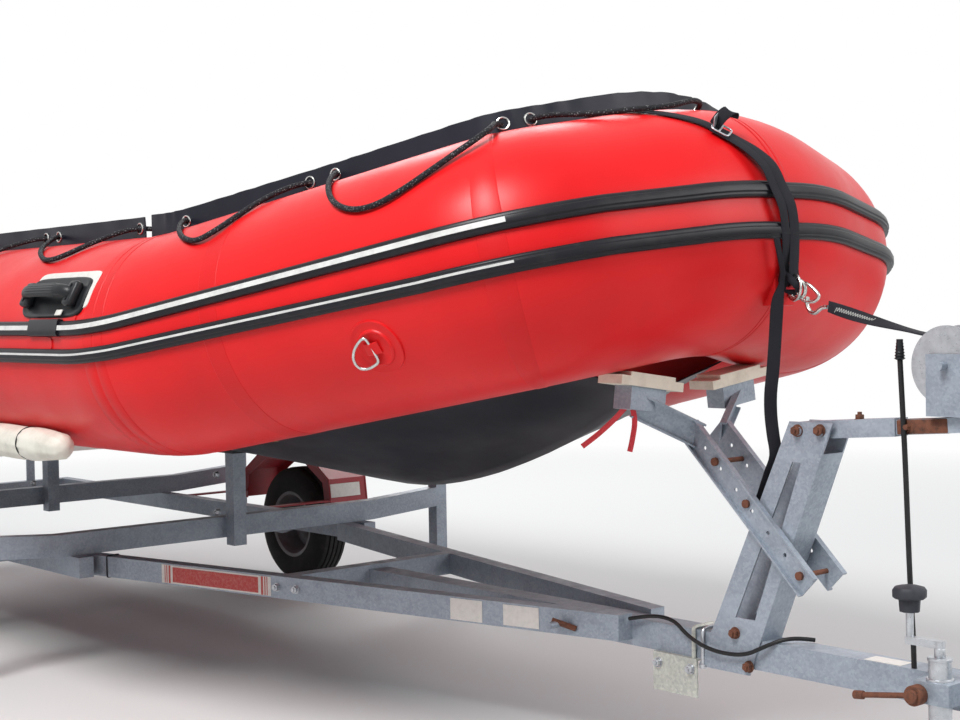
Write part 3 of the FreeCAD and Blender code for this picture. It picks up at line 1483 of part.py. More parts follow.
def swag(run, start, end):
    """The points of an even swag between two pairs of holes."""
    step = (end - start) / (len(SAG) + 1)
    return [(run, start + step * (i + 1)) + point for i, point in enumerate(SAG)]


def lifeline_to_bow():
    """From the stern to the second hole beside the bow, as (run, along, angle, height above the tube)."""
    aft = FLAP_HOLES["aft"]
    forward = FLAP_HOLES["forward"]
    points = [(AFT, aft[0] - 38, 96.7, 28), (AFT, aft[0] + THROUGH) + OUTSIDE,
              (AFT, 165, 68, 9), (AFT, 245, 60, 9), (AFT, 325, 68, 9)]
    pairs = list(zip(aft[1:-1:2], aft[2:-1:2]))
    for (left, right), after in zip(pairs, pairs[1:]):
        points += pair_points(AFT, left, right) + swag(AFT, right + THROUGH, after[0] - THROUGH)
    points += pair_points(AFT, *pairs[-1])
    points += [(AFT, 2345, 68, 9), (AFT, 2440, 58, 9), (AFT, 2525, 52, 9), (AFT, 2600, 53, 10), (AFT, 2662, 66, 11)]
    points += [(AFT, aft[-1] - THROUGH) + OUTSIDE, (AFT, aft[-1] + PAST) + INSIDE]
    points += [(FORWARD, -28, 95.5, 26), (FORWARD, forward[0] - PAST) + INSIDE,
               (FORWARD, forward[0] + THROUGH) + OUTSIDE]
    points += [(FORWARD, 150, 68, 12), (FORWARD, 230, 50, 12), (FORWARD, 310, 41, 11), (FORWARD, 380, 46, 13),
               (FORWARD, 440, 66, 13)]
    points += pair_points(FORWARD, *forward[1:])
    points += [(FORWARD, 680, 62, 13), (FORWARD, 745, 42, 13), (FORWARD, 815, 32, 10), (FORWARD, 890, 30, 9),
               (FORWARD, 965, 34, 9), (FORWARD, 1040, 45, 14), (BOW, -52, 64, 16)]
    return points + pair_points(BOW, *FLAP_HOLES["bow"])


def laid(points, side):
    """Turns points in round coordinates into places; side 1 is the mirrored, port side."""
    places = [run.at(along, angle, TUBE + lift) for run, along, angle, lift in points]
    return [V(p.x, -side * p.y, p.z) if side > 0 else p for p in places]


TO_BOW = lifeline_to_bow()
ROUND_NOSE = [(BOW, 215, 66, 11), (BOW, 300, 60, 16), (BOW, 385, 62, 12), (BOW, 460, 69, 24)]
NOSE_END = [(BOW, 475, 76, 24), (BOW, END_HOLES[1] + THROUGH) + OUTSIDE, (BOW, END_HOLES[1] - PAST) + INSIDE,
            (BOW, END_HOLES[1] - 34, 95.5, 27)]
PORT_END = [(BOW, 190, 70, 9), (BOW, 238, 70, 9), (BOW, END_HOLES[0] - THROUGH) + OUTSIDE,
            (BOW, END_HOLES[0] + PAST) + INSIDE, (BOW, END_HOLES[0] + 32, 95.5, 27)]
LIFELINES = {
    "lifeline_starboard": laid(TO_BOW + ROUND_NOSE, -1) + laid(NOSE_END, 1),
    "lifeline_port": laid(TO_BOW + PORT_END, 1),
}
for cord_name, route in LIFELINES.items():
    node(cord_name, feature(cord_name, cord_tube(cord_name, route, mm("lifeline_radius"))))

# Cords

CORDS = {
    # name: (radius, route)
    "drawbar_cable": (5, (
        (1572, -58, 366), (1612, -52, 376), (1668, -46, 384), (1722, -50, 378), (1764, -58, 352),
        (1822, -60, 331), (1884, -58, 324), (1946, -56, 330), (1996, -52, 356), (2034, -30, 376),
        (2062, 4, 378), (2082, 28, 373))),
    "hanging_lead": (6, (
        (2385, -26.5, 365), (2384, -27, 430), (2379, -28, 520), (2373, -27, 650), (2368, -26.4, 790),
        (2362, -26.6, 920), (2357, -28, 1031))),
}
for cord_name, (radius, route) in CORDS.items():
    node(cord_name, feature(cord_name, cord_tube(cord_name, [V(*point) for point in route], radius)))

# Write every sub-part

doc.recompute()
for thing in doc.Objects:
    if "Invalid" in thing.State or "Error" in thing.State:
        raise RuntimeError("%s did not compute: %s" % (thing.Name, thing.State))
os.makedirs("parts", exist_ok=True)
for name, thing in nodes.items():
    if thing.Shape.isNull() or not thing.Shape.isValid():
        raise RuntimeError("%s has no valid shape" % name)
    thing.Shape.exportStep("parts/%s.step" % name)
print("%d sub-parts written" % len(nodes))
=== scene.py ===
"""The looks of an inflatable boat on its road trailer. Metres; X forward, Y to port, Z up."""
import math

import bpy
from mathutils import Matrix, Vector


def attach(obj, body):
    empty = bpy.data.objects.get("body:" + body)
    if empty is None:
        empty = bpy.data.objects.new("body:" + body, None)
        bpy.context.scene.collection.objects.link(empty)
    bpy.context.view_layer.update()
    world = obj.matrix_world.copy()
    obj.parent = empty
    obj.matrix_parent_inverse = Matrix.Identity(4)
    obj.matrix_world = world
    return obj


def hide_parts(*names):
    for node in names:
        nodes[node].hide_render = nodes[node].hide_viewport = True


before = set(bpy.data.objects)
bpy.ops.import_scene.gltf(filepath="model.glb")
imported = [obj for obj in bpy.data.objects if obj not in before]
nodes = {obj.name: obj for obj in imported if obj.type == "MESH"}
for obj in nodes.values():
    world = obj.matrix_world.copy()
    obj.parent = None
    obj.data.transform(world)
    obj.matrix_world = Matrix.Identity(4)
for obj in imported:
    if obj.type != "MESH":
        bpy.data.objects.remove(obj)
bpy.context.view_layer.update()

# Camera

PHOTO_WIDTH = 960
CAMERA_PLACE = Vector((4.350, -2.941, 1.142))
CAMERA_YAW, CAMERA_PITCH, CAMERA_ROLL = 49.169, -1.694, -0.963
FOCAL_PIXELS = 1590.97


def aim_camera():
    data = bpy.data.cameras.new("camera")
    camera = bpy.data.objects.new("camera", data)
    bpy.context.scene.collection.objects.link(camera)
    data.sensor_fit = "HORIZONTAL"
    data.sensor_width = 36
    data.lens = FOCAL_PIXELS / PHOTO_WIDTH * data.sensor_width
    data.clip_end = 100
    turn = Matrix.Rotation(math.radians(CAMERA_YAW), 4, "Z")
    turn = turn @ Matrix.Rotation(math.radians(90 + CAMERA_PITCH), 4, "X")
    turn = turn @ Matrix.Rotation(math.radians(CAMERA_ROLL), 4, "Z")
    camera.matrix_world = Matrix.Translation(CAMERA_PLACE) @ turn
    bpy.context.scene.camera = camera


aim_camera()

PORT, UP = Vector((0, 1, 0)), Vector((0, 0, 1))

# The tubes: straight runs between mitre planes, with round coordinates

TUBE = 0.298
CENTRE_LINE = [Vector((-2.350, -0.750, 1.067)), Vector((0.604, -0.750, 1.067)),
               Vector((1.641, -0.470, 1.262)), Vector((1.783, 0, 1.342))]
CONE_LENGTH, CONE_TIP = 0.460, 0.110


class Run:
    """A straight run of the starboard tube; angle 0 points out of the boat and 90 up."""

    def __init__(self, start, end, first_plane, last_plane, out):
        self.start, self.end = start, end
        self.axis = (end - start).normalized()
        self.length = (end - start).length
        self.first_plane, self.last_plane = first_plane, last_plane
        self.out = out
        self.up = out.cross(self.axis)

    def radial(self, angle):
        turn = math.radians(angle)
        return self.out * math.cos(turn) + self.up * math.sin(turn)

    def at(self, along, angle, lift):
        return self.start + self.axis * along + self.radial(angle) * (TUBE + lift)


def tube_runs():
    axes = [(b - a).normalized() for a, b in zip(CENTRE_LINE, CENTRE_LINE[1:])]
    planes = [axes[0], (axes[0] + axes[1]).normalized(), (axes[1] + axes[2]).normalized(), Vector((0, 1, 0))]
    out = Vector((0, -1, 0))
    runs = []
    for i, axis in enumerate(axes):
        if i:
            out = axes[i - 1].rotation_difference(axis) @ out
        runs.append(Run(CENTRE_LINE[i], CENTRE_LINE[i + 1], planes[i], planes[i + 1], out))
    return runs


RUNS = tube_runs()
AFT, FORWARD, BOW = RUNS
# how far from each corner of the centre line its rounding starts: kink, shoulder, nose
ROUNDING = (0.10, 0.08, 0.20)


def mirrored(point):
    return Vector((point.x, -point.y, point.z))


def rounded_frame(run, along):
    """Centre, axis, out and up at a distance along a run, with the corners of the line rounded."""
    i = RUNS.index(run)
    centre = run.start + run.axis * along
    after = RUNS[i + 1].axis if i < 2 else Vector((-BOW.axis.x, BOW.axis.y, -BOW.axis.z))
    corner = None
    if along > run.length - ROUNDING[i]:
        corner = (run.axis.cross(after), run.axis.angle(after), ROUNDING[i], run.length - ROUNDING[i], 1)
    elif i and along < ROUNDING[i - 1]:
        before = RUNS[i - 1].axis
        corner = (before.cross(run.axis), before.angle(run.axis), ROUNDING[i - 1], ROUNDING[i - 1], -1)
    if corner is None:
        return centre, run.axis, run.out, run.up
    pivot, turn, reach, start, way = corner
    pivot = pivot.normalized()
    angle = min(abs(along - start) / reach, 1) * turn / 2
    radius = reach / math.tan(turn / 2)
    inward = pivot.cross(run.axis)
    centre = run.start + run.axis * start + run.axis * (way * radius * math.sin(angle))
    centre += inward * (radius * (1 - math.cos(angle)))
    swing = Matrix.Rotation(way * angle, 3, pivot)
    return centre, swing @ run.axis, swing @ run.out, swing @ run.up


PAST_END = 0.0001


def at_angle(run, along, angle):
    """Centre and axis of the rounded tube, the way out of it at an angle, and the way round it there."""
    centre, axis, out, up = rounded_frame(run, along)
    turn = math.radians(angle)
    away, around = out * math.cos(turn) + up * math.sin(turn), up * math.cos(turn) - out * math.sin(turn)
    return centre, axis, away, around


def surface(run, along, angle, lift):
    """A point over the tube, which is rounded at its corners but runs on straight past its ends."""
    if along < 0 or along > run.length + PAST_END:
        return run.at(along, angle, lift)
    centre, _, away, _ = at_angle(run, along, angle)
    return centre + away * (TUBE + lift)


# Cords: the routes of part.py, in metres

OUTSIDE = (85.1, 0.028)
INSIDE = (93.9, 0.0278)
THROUGH, PAST = 0.028, 0.022
SAG = ((68, 0.012), (50, 0.013), (68, 0.012))
HOLES_AFT = (0.060, 0.419, 0.503, 0.996, 1.080, 1.573, 1.657, 2.150, 2.234, 2.732)
HOLES_FORWARD = (0.057, 0.510, 0.594)
HOLES_BOW = (0.030, 0.114)
HOLES_END = (0.310, 0.397)
HOLE_HEIGHT = 0.027


def pair_points(run, left, right):
    """Into the flap at one hole and out at the next."""
    return [(run, left - THROUGH) + OUTSIDE, (run, left + PAST) + INSIDE,
            (run, right - PAST) + INSIDE, (run, right + THROUGH) + OUTSIDE]


def swag(run, start, end):
    step = (end - start) / (len(SAG) + 1)
    return [(run, start + step * (i + 1)) + point for i, point in enumerate(SAG)]


def lifeline_to_bow():
    """From the stern to the second hole beside the bow, as (run, along, angle, lift)."""
    aft, forward = HOLES_AFT, HOLES_FORWARD
    points = [(AFT, aft[0] - 0.038, 96.7, 0.028), (AFT, aft[0] + THROUGH) + OUTSIDE,
              (AFT, 0.165, 68, 0.009), (AFT, 0.245, 60, 0.009), (AFT, 0.325, 68, 0.009)]
    pairs = list(zip(aft[1:-1:2], aft[2:-1:2]))
    for (left, right), after in zip(pairs, pairs[1:]):
        points += pair_points(AFT, left, right) + swag(AFT, right + THROUGH, after[0] - THROUGH)
    points += pair_points(AFT, *pairs[-1])
    points += [(AFT, 2.345, 68, 0.009), (AFT, 2.440, 58, 0.009), (AFT, 2.525, 52, 0.009),
               (AFT, 2.600, 53, 0.010), (AFT, 2.662, 66, 0.011)]
    points += [(AFT, aft[-1] - THROUGH) + OUTSIDE, (AFT, aft[-1] + PAST) + INSIDE]
    points += [(FORWARD, -0.028, 95.5, 0.026), (FORWARD, forward[0] - PAST) + INSIDE,
               (FORWARD, forward[0] + THROUGH) + OUTSIDE]
    points += [(FORWARD, 0.150, 68, 0.012), (FORWARD, 0.230, 50, 0.012), (FORWARD, 0.310, 41, 0.011),
               (FORWARD, 0.380, 46, 0.013), (FORWARD, 0.440, 66, 0.013)]
    points += pair_points(FORWARD, *forward[1:])
    points += [(FORWARD, 0.680, 62, 0.013), (FORWARD, 0.745, 42, 0.013), (FORWARD, 0.815, 32, 0.010),
               (FORWARD, 0.890, 30, 0.009), (FORWARD, 0.965, 34, 0.009), (FORWARD, 1.040, 45, 0.014),
               (BOW, -0.052, 64, 0.016)]
    return points + pair_points(BOW, *HOLES_BOW)


def laid(points, side):
    places = [surface(run, along, angle, lift) for run, along, angle, lift in points]
    return [mirrored(place) for place in places] if side > 0 else places


TO_BOW = lifeline_to_bow()
ROUND_NOSE = [(BOW, 0.215, 66, 0.011), (BOW, 0.300, 60, 0.016), (BOW, 0.385, 62, 0.012),
              (BOW, 0.460, 69, 0.024)]
NOSE_END = [(BOW, 0.475, 76, 0.024), (BOW, HOLES_END[1] + THROUGH) + OUTSIDE,
            (BOW, HOLES_END[1] - PAST) + INSIDE, (BOW, HOLES_END[1] - 0.034, 95.5, 0.027)]
PORT_END = [(BOW, 0.190, 70, 0.009), (BOW, 0.238, 70, 0.009), (BOW, HOLES_END[0] - THROUGH) + OUTSIDE,
            (BOW, HOLES_END[0] + PAST) + INSIDE, (BOW, HOLES_END[0] + 0.032, 95.5, 0.027)]
DRAWBAR_CABLE = [(1.572, -0.058, 0.366), (1.612, -0.052, 0.376), (1.668, -0.046, 0.384), (1.722, -0.050, 0.378),
                 (1.764, -0.058, 0.352), (1.822, -0.060, 0.331), (1.884, -0.058, 0.324), (1.946, -0.056, 0.330),
                 (1.996, -0.052, 0.356), (2.034, -0.030, 0.376), (2.062, 0.004, 0.378), (2.082, 0.028, 0.373)]
HANGING_LEAD = [(2.385, -0.0265, 0.365), (2.384, -0.027, 0.430), (2.379, -0.028, 0.520), (2.373, -0.027, 0.650),
                (2.368, -0.0264, 0.790), (2.362, -0.0266, 0.920), (2.357, -0.028, 1.031)]
CORDS = {
    # name: (route, radius, length, far end)
    "lifeline_starboard": (laid(TO_BOW + ROUND_NOSE, -1) + laid(NOSE_END, 1), 0.007, 6.36, "object"),
    "lifeline_port": (laid(TO_BOW + PORT_END, 1), 0.007, 5.96, "object"),
    "drawbar_cable": (DRAWBAR_CABLE, 0.005, 0.566, "object"),
    "hanging_lead": (HANGING_LEAD, 0.006, 0.667, "fitting"),
}

# Working by hand: edit mode, placing and joining


def choose(*things):
    bpy.ops.object.select_all(action="DESELECT")
    for thing in things:
        thing.select_set(True)
    bpy.context.view_layer.objects.active = things[0]


def edit(thing):
    choose(thing)
    bpy.ops.object.mode_set(mode="EDIT")
    bpy.ops.mesh.select_all(action="SELECT")


def object_mode():
    bpy.ops.object.mode_set(mode="OBJECT")


def settle(thing):
    """Moves an object's place and turn into its mesh."""
    choose(thing)
    bpy.ops.object.transform_apply(location=True, rotation=True, scale=True)
    return thing


def join(things):
    choose(*things)
    if len(things) > 1:
        bpy.ops.object.join()
    return things[0]


def twin(thing):
    """The same piece on the other side of the boat."""
    choose(thing)
    bpy.ops.object.duplicate()
    other = bpy.context.object
    edit(other)
    bpy.ops.transform.resize(value=(1, -1, 1), center_override=(0, 0, 0))
    bpy.ops.mesh.flip_normals()
    object_mode()
    return other


def both_sides(parts):
    """The parts and their twins on the other side, as one piece."""
    thing = join(parts)
    return join([thing, twin(thing)])


def modify(thing, kind, **settings):
    modifier = thing.modifiers.new(kind.lower(), kind)
    for key, value in settings.items():
        setattr(modifier, key, value)
    choose(thing)
    bpy.ops.object.modifier_apply(modifier=modifier.name)
    return thing


def dressed(thing, name, finish, body="root", replaces=(), angle=35):
    """Names a piece, gives it its finish and lets it ride on its body."""
    thing.name = name
    thing.data.materials.clear()
    thing.data.materials.append(finish)
    if angle and thing.type == "MESH":
        choose(thing)
        bpy.ops.object.shade_smooth_by_angle(angle=math.radians(angle))
    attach(thing, body)
    if replaces:
        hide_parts(*replaces)
    return thing


def loft(sections, closed=True, capped=True):
    """A skin through sections of equal counts: a grid whose rows are moved onto them."""
    rows = len(sections)
    columns = len(sections[0]) + (1 if closed else 0)
    bpy.ops.object.select_all(action="DESELECT")
    bpy.ops.mesh.primitive_grid_add(x_subdivisions=columns - 1, y_subdivisions=rows - 1)
    thing = bpy.context.object
    for i, vertex in enumerate(thing.data.vertices):
        row, column = divmod(i, columns)
        vertex.co = sections[row][column % len(sections[row])]
    edit(thing)
    if closed:
        bpy.ops.mesh.remove_doubles(threshold=0.00001)
    if closed and capped:
        bpy.ops.mesh.select_all(action="DESELECT")
        bpy.ops.mesh.select_non_manifold()
        bpy.ops.mesh.fill_holes(sides=0)
        bpy.ops.mesh.select_all(action="SELECT")
    bpy.ops.mesh.normals_make_consistent(inside=False)
    object_mode()
    thing.location = (0, 0, 0)
    return thing


def rod(start, end, radius, vertices, bevel=0.0):
    """A round bar between two points, with its rims broken."""
    start, end = Vector(start), Vector(end)
    bpy.ops.object.select_all(action="DESELECT")
    bpy.ops.mesh.primitive_cylinder_add(vertices=vertices, radius=radius, depth=(end - start).length)
    thing = bpy.context.object
    thing.rotation_mode = "QUATERNION"
    thing.rotation_quaternion = (end - start).to_track_quat("Z", "Y")
    thing.location = (start + end) / 2
    settle(thing)
    if bevel:
        modify(thing, "BEVEL", width=bevel, segments=2, limit_method="ANGLE", angle_limit=0.9)
    return thing


def block(centre, size, turn, bevel, segments=2):
    """A box with its edges broken; turn is a matrix whose columns are its own directions."""
    bpy.ops.object.select_all(action="DESELECT")
    bpy.ops.mesh.primitive_cube_add(size=1)
    thing = bpy.context.object
    thing.scale = size
    settle(thing)
    modify(thing, "BEVEL", width=bevel, segments=segments, limit_method="NONE")
    place = Matrix.Translation(Vector(centre))
    thing.matrix_world = place @ turn.to_4x4() if turn else place
    return settle(thing)


def ring(centre, normal, radius, wire, around, across):
    bpy.ops.object.select_all(action="DESELECT")
    bpy.ops.mesh.primitive_torus_add(major_radius=radius, minor_radius=wire, major_segments=around,
                                     minor_segments=across)
    thing = bpy.context.object
    thing.rotation_mode = "QUATERNION"
    thing.rotation_quaternion = Vector(normal).to_track_quat("Z", "Y")
    thing.location = centre
    return settle(thing)


def directions(along, up):
    """Matrix with X along, Z as near to up as it can be."""
    along = Vector(along).normalized()
    side = Vector(up).cross(along).normalized()
    return Matrix((along, side, along.cross(side))).transposed()


def wire_route(points, radius, cyclic=False, resolution=4):
    """A bent wire or cord: a smooth NURBS line through the neighbourhood of its points."""
    data = bpy.data.curves.new("route", "CURVE")
    data.dimensions = "3D"
    spline = data.splines.new("NURBS")
    spline.points.add(len(points) - 1)
    for point, place in zip(spline.points, points):
        point.co = (*place, 1)
    spline.order_u = 3
    spline.use_endpoint_u = not cyclic
    spline.use_cyclic_u = cyclic
    spline.resolution_u = resolution
    data.bevel_depth = radius
    data.bevel_resolution = 3
    data.use_fill_caps = not cyclic
    thing = bpy.data.objects.new("route", data)
    bpy.context.scene.collection.objects.link(thing)
    return thing


def bent_wire(points, radius, cyclic=False):
    thing = wire_route([Vector(point) for point in points], radius, cyclic)
    choose(thing)
    bpy.ops.object.convert(target="MESH")
    return bpy.context.object


WASHER = 0.002


def bolt(centre, direction, across, height, stud, washer=True):
    """Hexagon head on a washer, with the end of its thread."""
    centre, direction = Vector(centre), Vector(direction).normalized()
    parts = []
    start = centre
    if washer:
        start = centre + direction * WASHER
        parts.append(rod(centre, start, across * 0.68, 24))
    head = rod(start, start + direction * height, across / math.sqrt(3), 6)
    modify(head, "BEVEL", width=0.0008, segments=2, limit_method="ANGLE", angle_limit=0.9)
    parts.append(head)
    if stud:
        parts.append(rod(start + direction * height, start + direction * (height + stud), across * 0.3, 12))
    return join(parts)


# Finishes

BLACK, WHITE = (0, 0, 0), (1, 1, 1)


def new_finish(name, roughness, metallic=0.0, specular=0.5):
    material = bpy.data.materials.new(name)
    material.use_nodes = True
    tree = material.node_tree
    shader = tree.nodes["Principled BSDF"]
    shader.inputs["Roughness"].default_value = roughness
    shader.inputs["Metallic"].default_value = metallic
    shader.inputs["Specular IOR Level"].default_value = specular
    return material, tree, shader


def coordinates(tree, stretch=(1, 1, 1)):
    source = tree.nodes.new("ShaderNodeTexCoord")
    mapping = tree.nodes.new("ShaderNodeMapping")
    mapping.inputs["Scale"].default_value = stretch
    tree.links.new(source.outputs["Object"], mapping.inputs["Vector"])
    return mapping.outputs["Vector"]


def noise(tree, scale, detail, roughness=0.55, stretch=(1, 1, 1)):
    node = tree.nodes.new("ShaderNodeTexNoise")
    node.inputs["Scale"].default_value = scale
    node.inputs["Detail"].default_value = detail
    node.inputs["Roughness"].default_value = roughness
    tree.links.new(coordinates(tree, stretch), node.inputs["Vector"])
    return node.outputs["Fac"]


def cells(tree, scale):
    node = tree.nodes.new("ShaderNodeTexVoronoi")
    node.inputs["Scale"].default_value = scale
    tree.links.new(coordinates(tree), node.inputs["Vector"])
    return node.outputs


def ramp(tree, value, stops):
    """Colour from a value; stops are (position, colour)."""
    node = tree.nodes.new("ShaderNodeValToRGB")
    while len(node.color_ramp.elements) < len(stops):
        node.color_ramp.elements.new(0.5)
    for element, (position, colour) in zip(node.color_ramp.elements, stops):
        element.position = position
        element.color = (*colour, 1)
    tree.links.new(value, node.inputs["Fac"])
    return node.outputs["Color"]


def mixed(tree, factor, first, second):
    node = tree.nodes.new("ShaderNodeMix")
    node.data_type = "RGBA"
    for socket_name, value in (("Factor", factor), ("A", first), ("B", second)):
        socket = node.inputs[socket_name]
        if isinstance(value, bpy.types.NodeSocket):
            tree.links.new(value, socket)
        elif isinstance(value, tuple):
            socket.default_value = (*value, 1)
        else:
            socket.default_value = value
    return node.outputs["Result"]


def bumped(tree, shader, height, strength, distance=0.001, below=None):
    node = tree.nodes.new("ShaderNodeBump")
    node.inputs["Strength"].default_value = strength
    node.inputs["Distance"].default_value = distance
    tree.links.new(height, node.inputs["Height"])
    if below is not None:
        tree.links.new(below, node.inputs["Normal"])
    tree.links.new(node.outputs["Normal"], shader.inputs["Normal"])
    return node.outputs["Normal"]


def painted(tree, shader, colour):
    tree.links.new(colour, shader.inputs["Base Color"])


def patches(tree, amount, source, low, high):
    """How much of a second colour shows: from none to the amount, where the source goes from low to high."""
    return mixed(tree, amount, BLACK, ramp(tree, source, [(low, BLACK), (high, WHITE)]))


def uneven_gloss(tree, shader, source, stops):
    """Roughness that changes over the surface; stops are (position, roughness)."""
    rough = ramp(tree, source, [(position, (min(1, value),) * 3) for position, value in stops])
    tree.links.new(rough, shader.inputs["Roughness"])


def coated_fabric(name, deep, bright, roughness, dust):
    """Coated cloth: soft change of colour, a fine weave in relief, and dust that settles in patches."""
    material, tree, shader = new_finish(name, roughness, specular=0.26)
    colour = ramp(tree, noise(tree, 2.2, 3), [(0.30, deep), (0.72, bright)])
    scuffs = patches(tree, 0.12, noise(tree, 38, 6, 0.7, (0.35, 1, 1)), 0.64, 0.74)
    painted(tree, shader, mixed(tree, scuffs, colour, dust))
    uneven_gloss(tree, shader, noise(tree, 5, 4), [(0.3, roughness * 0.8), (0.75, roughness * 1.25)])
    slack = bumped(tree, shader, noise(tree, 3.0, 2), 0.25, 0.006)
    bumped(tree, shader, noise(tree, 1400, 2), 0.10, 0.0004, slack)
    return material


def rubber(name, colour, roughness, chalk=(0.06, 0.06, 0.06)):
    """Black rubber or plastic, chalky where it is worn."""
    material, tree, shader = new_finish(name, roughness, specular=0.25)
    worn = patches(tree, 0.22, noise(tree, 26, 6, 0.7), 0.50, 0.80)
    painted(tree, shader, mixed(tree, worn, colour, chalk))
    bumped(tree, shader, noise(tree, 240, 4), 0.15, 0.0006)
    return material


def galvanised(name, dark, pale, rust_start):
    """Hot dip zinc: soft spangle, pale bloom, grime and a few rusty runs."""
    material, tree, shader = new_finish(name, 0.46, 0.35)
    shade = tree.nodes.new("ShaderNodeSeparateColor")
    tree.links.new(cells(tree, 170)["Color"], shade.inputs["Color"])
    colour = ramp(tree, shade.outputs["Red"], [(0.0, dark), (1.0, pale)])
    bloom = patches(tree, 0.5, noise(tree, 6, 6, 0.65, (0.5, 0.5, 1.4)), 0.42, 0.68)
    colour = mixed(tree, bloom, colour, tuple(min(1, c * 1.25) for c in pale))
    grime = patches(tree, 0.4, noise(tree, 13, 8, 0.7), 0.50, 0.78)
    colour = mixed(tree, grime, colour, tuple(c * 0.5 for c in dark))
    rusty = ramp(tree, noise(tree, 9, 10, 0.75), [(rust_start, BLACK), (rust_start + 0.05, WHITE)])
    painted(tree, shader, mixed(tree, rusty, colour, (0.20, 0.075, 0.03)))
    uneven_gloss(tree, shader, noise(tree, 30, 5), [(0.3, 0.36), (0.8, 0.62)])
    bumped(tree, shader, noise(tree, 120, 5), 0.22, 0.0006)
    return material


def rusted(name, deep, bright):
    material, tree, shader = new_finish(name, 0.82)
    painted(tree, shader, ramp(tree, noise(tree, 60, 8, 0.7), [(0.30, deep), (0.55, bright), (0.75, deep)]))
    bumped(tree, shader, noise(tree, 300, 6), 0.6, 0.0012)
    return material


def plain_metal(name, colour, roughness, metallic=1.0):
    """Metal without a coat, and with no metallic share a lamp's lens."""
    material, tree, shader = new_finish(name, roughness, metallic)
    tones = [(0.3, tuple(c * 0.75 for c in colour)), (0.7, colour)]
    painted(tree, shader, ramp(tree, noise(tree, 45, 6), tones))
    uneven_gloss(tree, shader, noise(tree, 160, 4), [(0.3, roughness * 0.7), (0.8, roughness * 1.5)])
    return material


def webbing(name, colour, edge):
    """Woven strap: fine ribs across and a faint fleck."""
    material, tree, shader = new_finish(name, 0.7, specular=0.2)
    fleck = patches(tree, 0.3, noise(tree, 900, 2), 0.45, 0.75)
    painted(tree, shader, mixed(tree, fleck, colour, edge))
    weave = tree.nodes.new("ShaderNodeTexWave")
    weave.inputs["Scale"].default_value = 260
    weave.bands_direction = "Z"
    weave.inputs["Distortion"].default_value = 0.4
    tree.links.new(coordinates(tree), weave.inputs["Vector"])
    bumped(tree, shader, weave.outputs["Fac"], 0.5, 0.0006)
    return material


def braided(name, colour, fleck_colour):
    """Black rope with a light tracer thread in the middle of its strands."""
    material, tree, shader = new_finish(name, 0.75, specular=0.2)
    strands = cells(tree, 170)["Distance"]
    fleck = ramp(tree, strands, [(0.16, WHITE), (0.34, BLACK)])
    painted(tree, shader, mixed(tree, mixed(tree, 0.45, BLACK, fleck), colour, fleck_colour))
    bumped(tree, shader, strands, 0.9, 0.0025)
    return material


def soiled(name, colour, dirt, scale, amount, roughness):
    """Paint, paper or cloth of one colour, with stains of another."""
    material, tree, shader = new_finish(name, roughness)
    stain = patches(tree, amount, noise(tree, scale, 8, 0.7), 0.44, 0.76)
    painted(tree, shader, mixed(tree, stain, colour, dirt))
    bumped(tree, shader, noise(tree, 260, 4), 0.2, 0.0008)
    return material


def plywood(name):
    material, tree, shader = new_finish(name, 0.5)
    grain = noise(tree, 6, 8, 0.6, (1.2, 14, 14))
    layers = [(0.28, (0.20, 0.12, 0.06)), (0.55, (0.36, 0.24, 0.13)), (0.80, (0.46, 0.33, 0.20))]
    painted(tree, shader, ramp(tree, grain, layers))
    bumped(tree, shader, grain, 0.15, 0.0008)
    return material


RED = coated_fabric("red_fabric", (0.56, 0.004, 0.006), (0.70, 0.008, 0.010), 0.36, (0.60, 0.10, 0.09))
RED_TAPE = coated_fabric("red_tape", (0.52, 0.004, 0.006), (0.66, 0.008, 0.010), 0.40, (0.58, 0.10, 0.09))
HULL = coated_fabric("black_bottom", (0.006, 0.007, 0.011), (0.013, 0.014, 0.020), 0.38, (0.04, 0.04, 0.04))
FLAP = coated_fabric("flap_fabric", (0.004, 0.005, 0.011), (0.010, 0.011, 0.020), 0.40, (0.05, 0.05, 0.06))
STRAKE = rubber("strake_rubber", (0.008, 0.008, 0.011), 0.34)
# painted highlight: pale colour of the lines along the strake tops, standing in for light glinting there
STRAKE_HIGHLIGHT = soiled("painted_strake_highlight", (0.62, 0.62, 0.60), (0.22, 0.22, 0.22), 20, 0.5, 0.35)
MOULDED = rubber("moulded_black", (0.011, 0.012, 0.014), 0.36)
TYRE = rubber("tyre_rubber", (0.016, 0.016, 0.016), 0.78, (0.10, 0.09, 0.08))
ZINC = galvanised("zinc", (0.235, 0.270, 0.320), (0.310, 0.350, 0.400), 0.80)
ZINC_CREAM = galvanised("zinc_cream", (0.40, 0.41, 0.38), (0.55, 0.56, 0.50), 0.78)
RUST = rusted("rust", (0.040, 0.016, 0.010), (0.150, 0.052, 0.026))
WHEEL_GREY = soiled("wheel_grey", (0.16, 0.16, 0.17), (0.09, 0.045, 0.030), 22, 0.7, 0.5)
STEEL = plain_metal("polished_steel", (0.62, 0.62, 0.60), 0.24)
BRIGHT_ZINC = plain_metal("bright_zinc", (0.55, 0.57, 0.60), 0.34, 0.9)
ROPE = braided("rope", (0.014, 0.014, 0.017), (0.30, 0.30, 0.30))
CABLE = rubber("cable", (0.012, 0.012, 0.013), 0.45)
STRAP = webbing("strap", (0.010, 0.010, 0.014), (0.035, 0.035, 0.045))
THREAD = webbing("pale_thread", (0.42, 0.42, 0.40), (0.55, 0.55, 0.52))
BUNK = soiled("bunk_cover", (0.70, 0.68, 0.60), (0.30, 0.26, 0.20), 9, 0.5, 0.5)
PAD = soiled("pad_white", (0.72, 0.68, 0.56), (0.30, 0.25, 0.18), 18, 0.45, 0.5)
GUARD = soiled("guard_red", (0.30, 0.012, 0.020), (0.12, 0.03, 0.03), 10, 0.5, 0.38)
